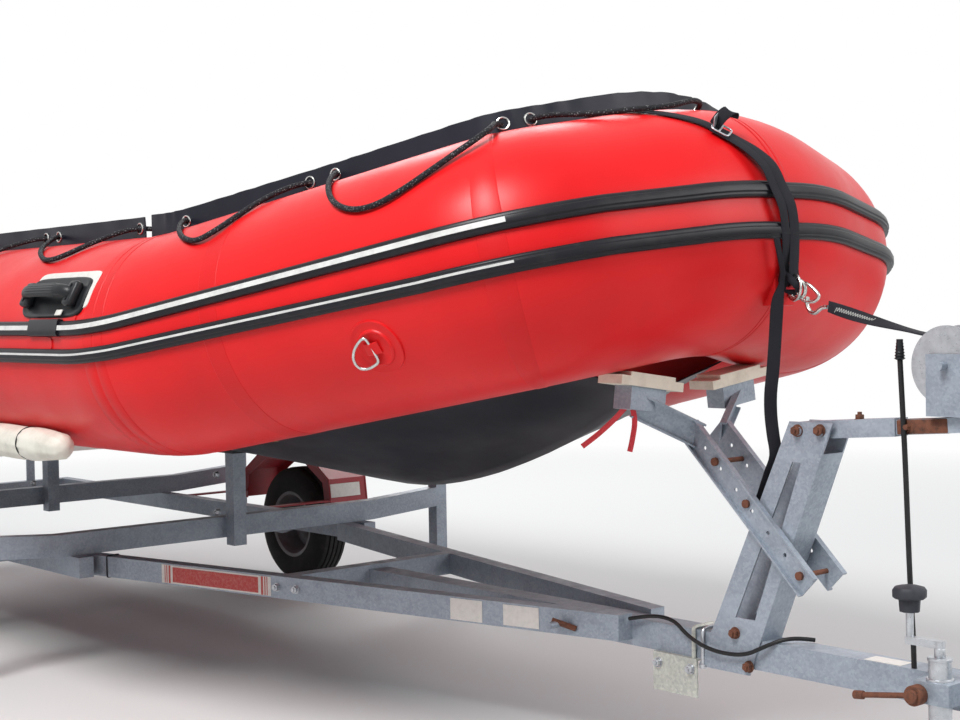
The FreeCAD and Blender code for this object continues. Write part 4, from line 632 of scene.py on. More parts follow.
LABEL_RED = soiled("label_red", (0.42, 0.035, 0.03), (0.60, 0.35, 0.30), 120, 0.4, 0.5)
LABEL_WHITE = soiled("label_white", (0.66, 0.64, 0.60), (0.40, 0.38, 0.35), 60, 0.4, 0.5)
RIBBON = soiled("ribbon", (0.60, 0.03, 0.04), (0.30, 0.02, 0.03), 60, 0.4, 0.6)
LENS_RED = plain_metal("lens_red", (0.36, 0.006, 0.008), 0.12, 0.0)
LENS_AMBER = plain_metal("lens_amber", (0.62, 0.20, 0.01), 0.12, 0.0)
WOOD = plywood("plywood")
PLASTIC_DARK = rubber("knob_plastic", (0.030, 0.032, 0.040), 0.55)

# what a node looks like where nothing takes its place; every other one is zinc
CAD_FINISH = {
    "floor": WOOD, "transom": WOOD, "towing_rings": RED, "bow_ring": STEEL, "drop_bracket": ZINC_CREAM,
    "jack_tube": BRIGHT_ZINC, "jack_leg": BRIGHT_ZINC, "jockey_wheel": TYRE, "keel_pads": MOULDED,
    "lamp_board": LABEL_WHITE, "mudguard_starboard": GUARD, "mudguard_port": GUARD, "snub_pads": PAD,
    "snub_rods": RUST, "tyre_starboard": TYRE, "tyre_port": TYRE, "coupling_handle": MOULDED,
    "winch_drum": BRIGHT_ZINC,
}
for node_name, thing in nodes.items():
    thing.data.materials.clear()
    thing.data.materials.append(CAD_FINISH.get(node_name, ZINC))

# Cords


def turned_upright(x, y, profile, count, flutes=0.0):
    """A solid turned about an upright line from (height, radius) pairs; flutes stand out eight times round."""
    rings = []
    for z, radius in profile:
        row = []
        for k in range(count):
            turn = math.tau * k / count
            reach = radius + flutes * math.cos(8 * turn)
            row.append(Vector((x + reach * math.cos(turn), y + reach * math.sin(turn), z)))
        rings.append(row)
    return loft(rings)


def lead_boot():
    """Ribbed rubber end of the lead, under the winch arm's tube; it tapers upwards."""
    last, foot, step = 14, 1.026, 0.0032
    profile = []
    for i in range(last + 1):
        rib, groove = 0.0125 - 0.0004 * i, 0.0095 - 0.0002 * i
        radius = 0.007 if i in (0, last) else rib if i % 2 else groove
        profile.append((foot + step * i, radius))
    boot = turned_upright(2.3569, -0.028, profile, 20)
    return dressed(boot, "lead_boot", MOULDED, angle=60)


for cord_name, (route, radius, length, far_end) in CORDS.items():
    limp = cord_name.startswith("lifeline")
    cord = wire_route([Vector(point) for point in route], radius, resolution=6)
    dressed(cord, cord_name + "_cord", ROPE if limp else CABLE,
            replaces=[cord_name])
    tuple(route[0])
    [lead_boot()] if far_end == "fitting" else []

# Tubes

ROUND = 96
IN_BEND, BETWEEN = 6, 8
# distance ahead of the cone's end and radius: its edge is broken
CONE_EDGE = ((0, CONE_TIP - 0.014), (0.010, CONE_TIP))


def tube_ring(run, along, lift=0.0):
    """A ring round the tube; inside a bend its points stop at the mitre plane."""
    places = []
    axis = rounded_frame(run, along)[1]
    for i in range(ROUND):
        place = surface(run, along, 360 * i / ROUND, lift)
        for corner, normal, way in ((run.end, run.last_plane, 1), (run.start, run.first_plane, -1)):
            past = (place - corner).dot(normal) * way
            if past > 0 and not (run is AFT and way < 0):
                place = place - axis * (past * way / axis.dot(normal))
        places.append(place)
    return places


def stations(run):
    """Distances along a run: close together in its rounded corners."""
    i = RUNS.index(run)
    first = ROUNDING[i - 1] if i else 0
    last = run.length - ROUNDING[i]
    places = [first * step / IN_BEND for step in range(1, IN_BEND)] if i else []
    places += [first + (last - first) * step / BETWEEN for step in range(BETWEEN + 1)]
    return places + [last + (run.length - last) * step / IN_BEND for step in range(1, IN_BEND + 1)]


def tube_skin():
    """Both tubes and the bow as one skin, from cone tip to cone tip."""
    tail = AFT.start - AFT.axis * CONE_LENGTH
    half = [[tail + AFT.axis * ahead + AFT.radial(360 * i / ROUND) * radius for i in range(ROUND)]
            for ahead, radius in CONE_EDGE]
    for run in RUNS:
        half += [tube_ring(run, along) for along in stations(run)]
    other = [[mirrored(point) for point in section] for section in reversed(half[:-1])]
    return loft(half + other)


dressed(tube_skin(), "tubes", RED, replaces=["tube_starboard", "tube_port", "tube_bow"], angle=25)

TAPE, TAPE_EDGE, TAPE_BEVEL, TAPE_STEP = 0.0009, 0.0001, 0.001, 0.02
SEAMS = ((FORWARD, 0.352, 0.409), (AFT, 0.550, 0.600), (AFT, 1.550, 1.600),
         (AFT, AFT.length - 0.034, AFT.length - 0.002), (FORWARD, 0.002, 0.030),
         (FORWARD, FORWARD.length - 0.026, FORWARD.length - 0.002),
         (BOW, BOW.length - 0.010, BOW.length - 0.001))


def seam_band(run, first, last):
    """A tape glued round the tube between two distances, with its edges down."""
    steps = max(2, round((last - first) / TAPE_STEP))
    inner = last - first - 2 * TAPE_BEVEL
    rings = [tube_ring(run, first, TAPE_EDGE)]
    rings += [tube_ring(run, first + TAPE_BEVEL + inner * i / steps, TAPE) for i in range(steps + 1)]
    return loft(rings + [tube_ring(run, last, TAPE_EDGE)], capped=False)


dressed(both_sides([seam_band(*seam) for seam in SEAMS]), "seam_tapes", RED_TAPE, angle=30)

# Strakes, with pale lines of painted highlight along their tops

# angle round the tube at the stern, the kink, the shoulder and the nose
STRAKES = {"upper": (11, 10, 8, 3), "lower": (-3, -4, -10, -15)}
STRAKE_HALF = ((0.0195, -0.006), (0.0195, 0.008), (0.0150, 0.0125), (0.0095, 0.0130), (0.0075, 0.0165))
# height over the tube of the painted highlight lines on the strakes
HIGHLIGHT_LIFT = 0.0169


def both_halves(half):
    """A section of (offset, height) from one half of it, from the far foot over the top."""
    return [(-offset, height) for offset, height in half] + list(reversed(half))


def strake_section(run, along, angle, profile):
    """Corners of a strake's section; profile is (offset round the tube, lift)."""
    centre, _, away, around = at_angle(run, along, angle)
    return [centre + away * (TUBE + lift) + around * offset for offset, lift in profile]


def strip_along(angles, profile, last_run=2):
    """A strip laid along the boat, from stern to stern round the bow or as far as a run of one side."""
    sections = []
    for i, run in enumerate(RUNS[:last_run + 1]):
        for along in stations(run):
            angle = angles[i] + (angles[i + 1] - angles[i]) * along / run.length
            sections.append(strake_section(run, along, angle, profile))
    if last_run < 2:
        return loft(sections)
    other = [[mirrored(point) for point in section] for section in reversed(sections[:-1])]
    return loft(sections + other)


def highlight_line(angles, low, high):
    """A pale line along the top of a strake, as far as the front of the side: painted highlight, where light
    glints on the rubber.
    """
    foot = HIGHLIGHT_LIFT - 0.002
    profile = [(low, foot), (low, HIGHLIGHT_LIFT), (high, HIGHLIGHT_LIFT), (high, foot)]
    return strip_along(angles, profile, last_run=1)


for strake_name, angles in STRAKES.items():
    strake = strip_along(angles, both_halves(STRAKE_HALF))
    modify(strake, "BEVEL", width=0.001, segments=2, limit_method="ANGLE", angle_limit=0.5)
    dressed(strake, "strake_%s_strip" % strake_name, STRAKE,
            replaces=["strake_" + strake_name])
# pale lines of painted highlight, where light glints along the tops of the strakes
highlight_lines = [highlight_line(STRAKES["upper"], -0.0062, 0.0062), highlight_line(STRAKES["lower"], 0.0030, 0.0085)]
dressed(both_sides(highlight_lines), "strake_painted_highlights", STRAKE_HIGHLIGHT)

# Flap along the top, with its steel eyelets

CLOTH = 0.004
FLAP_FOOT = 0.004
LONG_WAVE, SHORT_WAVE = 0.0022, 0.0012
EYELET_RADIUS, EYELET_WIRE, EYELET_OUT = 0.0145, 0.0026, 0.0028


def flap_sheet(places):
    """Standing fabric; places are (run, along, height), and its edge leans a little in waves."""
    rows = []
    for i, (run, along, height) in enumerate(places):
        lean = LONG_WAVE * math.sin(1.7 * i) + SHORT_WAVE * math.sin(4.1 * i)
        centre, _, out, up = rounded_frame(run, along)
        foot = centre + up * (TUBE - FLAP_FOOT)
        rows.append([foot + up * (height + FLAP_FOOT) * share + out * (lean * share ** 2)
                     for share in (0, 0.25, 0.5, 0.75, 1)])
    sheet = loft(rows, closed=False, capped=False)
    return modify(sheet, "SOLIDIFY", thickness=CLOTH, offset=0)


def spread(run, start, end, first, last, count):
    """Places along a run, with a height that goes evenly from the first to the last."""
    shares = [i / count for i in range(count + 1)]
    return [(run, start + (end - start) * share, first + (last - first) * share) for share in shares]


FLAP_LOW, FLAP_MID, FLAP_PEAK, FLAP_BOW = 0.058, 0.062, 0.056, 0.057
GAP_START, GAP_END = 2.760, 2.795
PEAK = 0.58 * FORWARD.length
aft_flap = flap_sheet(spread(AFT, 0, GAP_START, FLAP_LOW, FLAP_LOW, 60))
dressed(both_sides([aft_flap]), "flap_aft_cloth", FLAP, replaces=["flap_aft"])
forward_flap = flap_sheet(
    spread(AFT, GAP_END, AFT.length, FLAP_MID, FLAP_MID, 8)
    + spread(FORWARD, 0.012, PEAK, FLAP_MID, FLAP_PEAK, 24)
    + spread(FORWARD, PEAK + 0.02, FORWARD.length, FLAP_PEAK, FLAP_BOW, 16)
    + spread(BOW, 0.012, BOW.length, FLAP_BOW, FLAP_BOW + 0.008, 24))
dressed(both_sides([forward_flap]), "flap_forward_cloth", FLAP, replaces=["flap_forward"])


def eyelet(centre, side):
    """A steel ring on each face of the flap."""
    return [ring(centre + side * (EYELET_OUT * face), side, EYELET_RADIUS, EYELET_WIRE, 24, 8)
            for face in (-1, 1)]


eyelets, end_eyelets = [], []
for run, holes in ((AFT, HOLES_AFT), (FORWARD, HOLES_FORWARD), (BOW, HOLES_BOW)):
    for along in holes:
        eyelets += eyelet(surface(run, along, 90, HOLE_HEIGHT), rounded_frame(run, along)[2])
for along in HOLES_END:
    centre, side = surface(BOW, along, 90, HOLE_HEIGHT), rounded_frame(BOW, along)[2]
    end_eyelets += eyelet(mirrored(centre), mirrored(side))
dressed(join([both_sides(eyelets)] + end_eyelets), "eyelets", STEEL)

# Bottom: slack black fabric over the keel

KEEL_LINE = (
    # x, keel z, half width, edge z
    (-2.128, 0.755, 0.600, 0.800), (-0.900, 0.745, 0.600, 0.800), (-0.400, 0.725, 0.600, 0.800),
    (0.380, 0.645, 0.600, 0.800), (0.690, 0.633, 0.590, 0.815), (0.930, 0.670, 0.560, 0.860),
    (1.140, 0.731, 0.510, 0.900), (1.310, 0.795, 0.455, 0.935), (1.470, 0.870, 0.380, 0.975),
    (1.600, 0.955, 0.270, 1.020),
)
SLACK, SLACK_WAVE = 0.007, 0.003


def keel_station(x):
    """A row of the table above, worked out for any x."""
    for first, second in zip(KEEL_LINE, KEEL_LINE[1:]):
        if x <= second[0]:
            share = (x - first[0]) / (second[0] - first[0])
            return [a + (b - a) * share for a, b in zip(first, second)]
    return list(KEEL_LINE[-1])


def bottom_cloth():
    """One skin from tube to tube; it hangs a little slack between keel and edge."""
    sections = []
    count, across = 90, 24
    stern, stem = KEEL_LINE[0][0], KEEL_LINE[-1][0]
    for i in range(count + 1):
        x = stern + (stem - stern) * i / count
        nearby = [keel_station(min(max(x + step, stern), stem)) for step in (-0.08, 0, 0.08)]
        _, keel, half, edge = [sum(values) / 3 for values in zip(*nearby)]
        row = []
        for j in range(across + 1):
            y = -1 + 2 * j / across
            share = abs(y)
            slack = (SLACK + SLACK_WAVE * math.sin(9 * x + 5 * share)) * math.sin(math.pi * share)
            row.append(Vector((x, half * y, keel + (edge - keel) * share - slack)))
        sections.append(row)
    sheet = loft(sections, closed=False, capped=False)
    return modify(sheet, "SOLIDIFY", thickness=CLOTH, offset=0)


dressed(bottom_cloth(), "hull_cloth", HULL, replaces=["hull_bottom"], angle=60)

# Straps


def smooth_line(points, steps=5):
    """Points along a smooth line through all the given ones; each point may be any list of numbers."""
    points = [list(point) for point in points]
    line = []
    for i in range(len(points) - 1):
        before, first = points[max(i - 1, 0)], points[i]
        second, after = points[i + 1], points[min(i + 2, len(points) - 1)]
        for step in range(steps):
            t = step / steps
            line.append([0.5 * (2 * b + (c - a) * t + (2 * a - 5 * b + 4 * c - d) * t ** 2
                                + (3 * b - a - 3 * c + d) * t ** 3)
                         for a, b, c, d in zip(before, first, second, after)])
    return line + [points[-1]]


def smooth_points(points, steps=5):
    return [Vector(point) for point in smooth_line(points, steps)]


def way_at(line, i):
    """The way a line of points goes at one of them."""
    return (line[min(i + 1, len(line) - 1)] - line[max(i - 1, 0)]).normalized()


def web_section(centre, across, out, width, thickness):
    """Flat webbing with rounded edges, as eight corners."""
    half, thick = width / 2, thickness / 2
    flat, edge = half - 0.0012, thick * 0.4
    corners = [(-half, -edge), (-flat, -thick), (flat, -thick), (half, -edge),
               (half, edge), (flat, thick), (-flat, thick), (-half, edge)]
    return [centre + across * a + out * b for a, b in corners]


def strap(table, width, thickness):
    """Webbing through (place, out) pairs."""
    line = [place for place, _ in table]
    sections = []
    for i, (place, out) in enumerate(table):
        ahead = way_at(line, i)
        across = ahead.cross(out).normalized()
        sections.append(web_section(place, across, across.cross(ahead), width, thickness))
    return loft(sections)


def over_bow(places):
    """Smooth (place, out) pairs from (along the bow run, angle, lift)."""
    table = []
    for along, angle, lift in smooth_line(places):
        centre, _, away, _ = at_angle(BOW, along, angle)
        table.append((centre + away * (TUBE + lift), away))
    return table


WEB_WIDTH, WEB_THICKNESS = 0.030, 0.0026
# along the bow run, angle and lift
TIE_UPPER = ((0.250, 88, 0.006), (0.262, 84, 0.006), (0.290, 74, 0.004), (0.335, 60, 0.004),
             (0.362, 52, 0.004), (0.390, 44, 0.005), (0.405, 38, 0.005), (0.413, 35, 0.005))
TIE_LOWER = ((0.403, 39, 0.005), (0.412, 35.5, 0.005), (0.430, 29, 0.006), (0.448, 21, 0.014),
             (0.462, 13, 0.021), (0.472, 4, 0.017), (0.480, -4, 0.021), (0.488, -13, 0.016),
             (0.493, -22, 0.014), (0.495, -31, 0.020), (0.496, -36, 0.034))
TIE_SECOND = ((0.396, 37, 0.008), (0.404, 34, 0.008), (0.420, 28, 0.009), (0.432, 20, 0.018),
              (0.442, 12, 0.024), (0.450, 3, 0.021), (0.457, -5, 0.024), (0.466, -14, 0.016),
              (0.474, -23, 0.012), (0.480, -31, 0.010), (0.490, -37, 0.026))
BUCKLE, BUCKLE_LIFT = (0.409, 35), 0.0135
TAIL_FOOT, TAIL_LIFT = (0.405, 38), 0.011
# degrees that the tail is turned at its foot, and more at each point
TAIL_TURN, TAIL_TWIST = 22, 1.5
# rise over the foot and way along the bow
TAIL_FOLD = ((0, 0), (0.012, 0.003), (0.026, 0.010), (0.035, 0.022), (0.029, 0.036), (0.016, 0.040))


def buckle_tail():
    """The end of the tie strap, folded up stiffly out of the buckle."""
    centre, _, out, _ = at_angle(BOW, *TAIL_FOOT)
    foot = centre + out * (TUBE + TAIL_LIFT)
    line = smooth_points([foot + out * rise + BOW.axis * aside for rise, aside in TAIL_FOLD], 4)
    facing = BOW.axis.cross(out)
    sections = []
    for i, place in enumerate(line):
        ahead = way_at(line, i)
        across = Matrix.Rotation(math.radians(TAIL_TURN + TAIL_TWIST * i), 3, out) @ facing
        across = (across - ahead * across.dot(ahead)).normalized()
        sections.append(web_section(place, across, across.cross(ahead), WEB_WIDTH, WEB_THICKNESS))
    return loft(sections)


straps = [strap(over_bow(TIE_UPPER), WEB_WIDTH, WEB_THICKNESS), strap(over_bow(TIE_LOWER), 0.034, 0.0028),
          strap(over_bow(TIE_SECOND), 0.026, WEB_THICKNESS), buckle_tail()]
dressed(join(straps), "tie_strap_web", STRAP, replaces=["tie_strap"], angle=40)


def buckle():
    """Cam buckle: a steel frame, its bar and a lever that stands up."""
    centre, _, out, _ = at_angle(BOW, *BUCKLE)
    centre = centre + out * (TUBE + BUCKLE_LIFT)
    down = (surface(BOW, 0.422, 30, 0.012) - surface(BOW, 0.396, 40, 0.012)).normalized()
    across = down.cross(out).normalized()
    half, head, foot = 0.019, -0.020, 0.024
    corners = [centre + across * a + down * b
               for a, b in ((-half, head), (half, head), (half, foot), (-half, foot))]
    loop = [corners[i].lerp(corners[(i + 1) % 4], share) for i in range(4) for share in (0.12, 0.5, 0.88)]
    frame_wire = bent_wire(loop, 0.0022, cyclic=True)
    bar = rod(centre - across * 0.020, centre + across * 0.020, 0.0026, 14, 0.0006)
    lever = block(centre - down * 0.019 + out * 0.013, (0.032, 0.027, 0.0025),
                  directions(across, down + out * 0.35), 0.001)
    return join([frame_wire, bar, lever])


dressed(buckle(), "cam_buckle", BRIGHT_ZINC, angle=40)

# The hanging strap, as in part.py: place, bearing of its width, width and thickness
DOWN_STRAP = ((2.071, -0.082, 1.299, 73, 0.016, 0.006), (2.067, -0.066, 1.259, 70, 0.014, 0.006),
              (2.059, -0.047, 1.223, 60, 0.012, 0.006), (2.050, -0.040, 1.196, 52, 0.014, 0.005),
              (2.043, -0.043, 1.168, 49, 0.026, 0.003), (2.040, -0.045, 1.137, 49, 0.030, 0.0026),
              (2.034, -0.045, 1.069, 52, 0.030, 0.0026), (2.027, -0.045, 1.000, 47, 0.030, 0.0026),
              (2.017, -0.042, 0.944, 50, 0.030, 0.0026), (2.009, -0.032, 0.895, 49, 0.030, 0.0026),
              (2.010, -0.026, 0.848, 49, 0.030, 0.0026), (2.012, -0.020, 0.801, 52, 0.030, 0.0026),
              (1.990, -0.016, 0.760, 70, 0.030, 0.0026), (1.9563, -0.014, 0.691, 90, 0.030, 0.0026))


def down_strap():
    """From the bow eye down to the post, narrow and folded at its head."""
    line = smooth_line(DOWN_STRAP, 4)
    places = [Vector(row[:3]) for row in line]
    sections = []
    for i, (_, _, _, bearing, width, thickness) in enumerate(line):
        turn = math.radians(bearing)
        across = Vector((math.cos(turn), math.sin(turn), 0))
        out = across.cross(way_at(places, i)).normalized()
        sections.append(web_section(places[i], across, out, width, thickness))
    return loft(sections)


dressed(down_strap(), "down_strap_web", STRAP, replaces=["down_strap"], angle=40)

# Bow eye: patch on the stem, red tab, steel ring, shackle and snap hook, knot of the strap

STEM_Z = 1.185
STEM = Vector((2.0892, 0, STEM_Z))
WINCH = Vector((2.473, 0, 1.015))
PULL = (WINCH + Vector((0.02, 0, 0.05)) - STEM).normalized()
RING_BACK = 0.028
EYE = Vector((nodes["bow_ring"].bound_box[6][0] - RING_BACK, 0, STEM_Z))
stem_face = EYE - Vector((0.075, 0, 0))


def from_eye(points):
    """Points of a bent wire at the bow eye from (along the pull, to port, up)."""
    return [EYE + PULL * a + Vector((0, b, c)) for a, b, c in points]


SHACKLE = ((0.006, 0, -0.020), (-0.004, 0, 0), (0.006, 0, 0.018), (0.034, 0, 0.020), (0.060, 0, 0.006),
           (0.064, 0, -0.002), (0.050, 0, -0.016), (0.030, 0, -0.022))
SNAP_HOOK = ((0.030, 0, -0.012), (0.022, 0.004, -0.026), (0.030, 0.004, -0.042), (0.048, 0.002, -0.044),
             (0.062, 0, -0.032), (0.072, 0, -0.022), (0.088, 0, -0.018))
KNOT = ((-0.030, -0.016, 0.040), (-0.006, -0.024, 0.026), (0.010, -0.012, 0.006), (-0.004, 0.010, -0.008),
        (-0.026, -0.004, -0.004), (-0.030, -0.022, 0.016), (-0.016, -0.030, 0.036))
patch = block(stem_face + Vector((0.010, 0, 0)), (0.062, 0.074, 0.078), None, 0.006)
dressed(patch, "stem_patch", RED_TAPE, angle=40)
tab = strap([(stem_face + Vector((0.012 + 0.014 * i, 0, 0.002)), UP) for i in range(6)], 0.030, 0.006)
dressed(tab, "stem_tab", RIBBON, angle=40)
steel_parts = [ring(EYE, (0, 1, 0.12), 0.022, 0.0042, 36, 12),
               ring(EYE + Vector((-0.010, 0, 0.004)), (0.4, 1, 0), 0.030, 0.0034, 36, 10),
               bent_wire(from_eye(SHACKLE), 0.0040, cyclic=True), bent_wire(from_eye(SNAP_HOOK), 0.0048)]
dressed(join(steel_parts), "bow_eye", STEEL, replaces=["bow_ring", "snap_hook"], angle=40)
knot = bent_wire([EYE + Vector(point) for point in KNOT], 0.0085, cyclic=True)
dressed(knot, "tie_knot", STRAP, angle=60)

# Winch strap: from its line's start behind the hook, touching the wound webbing on the drum

WOUND = 0.052
WINCH_WEB, AT_HOOK, WINCH_WEB_THICKNESS = 0.048, 0.026, 0.003
ON_DRUM, DRUM_STEP = 40, 9.2
line_start = EYE + PULL * 0.090 + Vector((0, 0, -0.016))
to_drum = WINCH - line_start
climb = math.atan2(to_drum.z, to_drum.x) + math.asin(WOUND / to_drum.length)
heading = Vector((math.cos(climb), 0, math.sin(climb)))
reach = math.sqrt(to_drum.length ** 2 - WOUND ** 2)


def on_winch_strap(share):
    """Place, way across and way out of the strap: twisted near the hook, sagging a little in its middle."""
    twist = math.radians(78 * (1 - min(1, share * 1.5)) ** 1.5)
    across = Vector((0, math.cos(twist), math.sin(twist)))
    place = line_start + heading * (reach * share) - Vector((0, 0, 0.006 * math.sin(math.pi * share)))
    return place, across, across.cross(heading).normalized()


def winch_web():
    """The strap up to the drum and once round it."""
    sections = []
    for i in range(25):
        width = AT_HOOK + (WINCH_WEB - AT_HOOK) * min(1, i / 24 * 1.6)
        sections.append(web_section(*on_winch_strap(i / 24), width, WINCH_WEB_THICKNESS))
    first = line_start + heading * reach - WINCH
    start = math.atan2(first.z, first.x)
    for i in range(1, ON_DRUM):
        turn = start - math.radians(DRUM_STEP * i)
        spoke = Vector((math.cos(turn), 0, math.sin(turn)))
        place = WINCH + spoke * (WOUND - 0.00006 * i)
        sections.append(web_section(place, PORT, spoke, WINCH_WEB, WINCH_WEB_THICKNESS))
    return loft(sections)


def stitches():
    """Pale zigzag sewing on both faces of the winch strap near the hook."""
    first, last, count = 0.06, 0.36, 33
    half_wide, over = 0.009, 0.0018
    lines = []
    for face in (-1, 1):
        points = []
        for i in range(count + 1):
            place, across, out = on_winch_strap(first + (last - first) * i / count)
            points.append(place + across * (half_wide if i % 2 else -half_wide) + out * (over * face))
        lines.append(bent_wire(points, 0.0008))
    return join(lines)


half_web = PORT * (WINCH_WEB / 2)
wound = rod(WINCH - half_web, WINCH + half_web, WOUND - 0.004, 48, 0.001)
winch_strap = join([winch_web(), wound])
dressed(winch_strap, "winch_strap_web", STRAP, replaces=["winch_strap"], angle=40)
dressed(stitches(), "strap_stitches", THREAD, angle=0)

# Mouldings and rings glued to the tubes

# points of a section
OUTLINE = 48


def oval_on_tube(run, along, angle, half_long, half_wide, steps, power=2.0):
    """A moulding laid on the tube: rings of one outline, each (inset, lift), up to its middle."""
    rings = []
    for inset, lift in steps:
        row = []
        for i in range(OUTLINE):
            a, b = math.cos(math.tau * i / OUTLINE), math.sin(math.tau * i / OUTLINE)
            x = (half_long - inset) * math.copysign(abs(a) ** (2 / power), a)
            y = (half_wide - inset) * math.copysign(abs(b) ** (2 / power), b)
            row.append(surface(run, along + x, angle + math.degrees(y / TUBE), lift))
        rings.append(row)
    return loft(rings)


def on_tube(run, along, angle):
    """What places (along, round it, away from it) at a point of the tube, its axis and the way out."""
    centre, axis, away, around = at_angle(run, along, angle)
    foot = centre + away * TUBE
    return (lambda a, b, c: foot + axis * a + around * b + away * c), axis, away


def band_over_strake(run, first, last, angle, half, lift):
    """A short band over a strake, with its edges turned down."""
    profile = both_halves([(half, 0.002), (half, lift - 0.004), (half - 0.006, lift)])
    return loft([strake_section(run, first + (last - first) * i / 16, angle, profile) for i in range(17)])


HANDLES = (2.745, 1.000)
HANDLE_ANGLE = 27
BASE_HALF, BASE_WIDE = 0.165, 0.060
HANDLE_BASE = ((0, 0), (0.001, 0.005), (0.004, 0.0075), (0.010, 0.0075), (0.013, 0.0058), (0.035, 0.0058),
               (0.0585, 0.0058))
SHOE = 0.126
# (along, height) of the middle of the grip, from its middle to its foot
GRIP_HALF = ((0, 0.044), (0.0375, 0.044), (0.075, 0.043), (0.104, 0.038), (0.124, 0.026), (0.128, 0.004))
GRIP_RADIUS, GRIP_RIB, RIBBED_HALF = 0.0150, 0.0013, 0.084


def carry_handle(along):
    """Moulded base, a grip ribbed lengthwise and its two shoes."""
    at, axis, away = on_tube(AFT, along, HANDLE_ANGLE)
    base = oval_on_tube(AFT, along, HANDLE_ANGLE, BASE_HALF, BASE_WIDE, HANDLE_BASE, 6)
    half = [(a, 0, height) for a, height in GRIP_HALF]
    line = smooth_points([(-a, 0, height) for a, _, height in reversed(half[1:])] + half)
    side = Vector((0, 1, 0))
    sections = []
    for i, point in enumerate(line):
        out = way_at(line, i).cross(side)
        row = []
        for k in range(OUTLINE):
            turn = math.tau * k / OUTLINE
            radius = GRIP_RADIUS + (GRIP_RIB if abs(point.x) < RIBBED_HALF and k % 3 == 0 else 0)
            spoke = side * (1.15 * math.cos(turn)) + out * (0.85 * math.sin(turn))
            row.append(at(*(point + spoke * radius)))
        sections.append(row)
    shoes = []
    for end in (-SHOE, SHOE):
        shoes.append(block(at(end, 0, 0.017), (0.044, 0.070, 0.026), directions(axis, away), 0.009, 3))
        shoes += [rod(at(end, rivet, 0.030), at(end, rivet, 0.033), 0.005, 16, 0.001)
                  for rivet in (0.020, -0.020)]
    return join([base, loft(sections)] + shoes)


CHEEKS = (
    # along from the handle, angle, half length, half width, (inset, lift) of its rings, squareness
    (0.02, 16.5, 0.125, 0.030, ((0, 0), (0.0008, 0.0026), (0.028, 0.0024)), 5),
    (-0.035, 2.2, 0.075, 0.020, ((0, 0), (0.0008, 0.0030), (0.018, 0.0028)), 4))
TAG = ((0, 0), (0.0008, 0.0022), (0.012, 0.0022), (0.058, 0.002))
grips, tags, bands, cheeks = [], [], [], []
for along in HANDLES:
    at, axis, away = on_tube(AFT, along, HANDLE_ANGLE)
    grips.append(carry_handle(along))
    tags.append(oval_on_tube(AFT, along + 0.012, HANDLE_ANGLE + 4, BASE_HALF + 0.003, BASE_WIDE, TAG, 9))
    tags.append(block(at(0.075, -0.050, 0.0085), (0.034, 0.016, 0.003), directions(axis, away), 0.0008))
    bands.append(band_over_strake(AFT, along - 0.080, along + 0.090, 10.3, 0.0225, 0.0185))
    cheeks += [oval_on_tube(AFT, along + ahead, *shape) for ahead, *shape in CHEEKS]
grips = join(grips)
for side, piece in (("starboard", grips), ("port", twin(grips))):
    dressed(piece, "handles_%s_moulded" % side, MOULDED, replaces=["handles_" + side])
dressed(both_sides(tags), "handle_tags", LABEL_WHITE)
dressed(both_sides(bands), "strake_bands", STRAKE)
dressed(both_sides(cheeks), "handle_patches", RED_TAPE)

RING_ALONG, RING_ANGLE = 0.835, -32
WELTS = ((0, 0), (0.0015, 0.0040), (0.004, 0.0045), (0.008, 0.0028), (0.022, 0.0028), (0.0245, 0.0058),
         (0.029, 0.0062), (0.033, 0.0036), (0.068, 0.0042))
TAB_HEIGHTS = (0.006, 0.008, 0.0125, 0.009, 0.006)
D_RING = ((-0.006, 0.030, 0.010), (-0.006, 0.006, 0.010), (-0.002, -0.026, 0.010), (-0.012, -0.034, 0.013),
          (-0.038, -0.038, 0.020), (-0.056, -0.028, 0.024), (-0.058, -0.004, 0.024), (-0.044, 0.018, 0.020),
          (-0.024, 0.032, 0.015), (-0.012, 0.036, 0.011))
at, axis, away = on_tube(FORWARD, RING_ALONG, RING_ANGLE)
welts = oval_on_tube(FORWARD, RING_ALONG, RING_ANGLE, 0.070, 0.070, WELTS)
tab_line = [(at(0.014 - 0.010 * i, 0.004, height), away) for i, height in enumerate(TAB_HEIGHTS)]
patch_parts = [welts, strap(tab_line, 0.030, 0.003)]
dressed(both_sides(patch_parts), "towing_patches", RED, replaces=["towing_rings"])
d_ring = bent_wire([at(*point) for point in D_RING], 0.0036, cyclic=True)
dressed(both_sides([d_ring]), "towing_d_rings", STEEL, angle=60)

# Bunks: padded cloth rolls tied to the trailer

BUNK_Y, BUNK_Z, BUNK_START, BUNK_END = -0.965, 0.7955, -2.200, 0.335
BUNK_RADIUS = 0.0468
BUNK_TIE, TIE_STEP = -1.990, 0.300
ROUND_END, TAPERED_END = 0.035, 0.20
FOLD, CREASE, OVERLAP = 0.0011, 0.0008, 0.0012
DRAWN, DRAWN_UNEVEN, DRAWN_REACH = 0.0032, 0.0012, 0.014


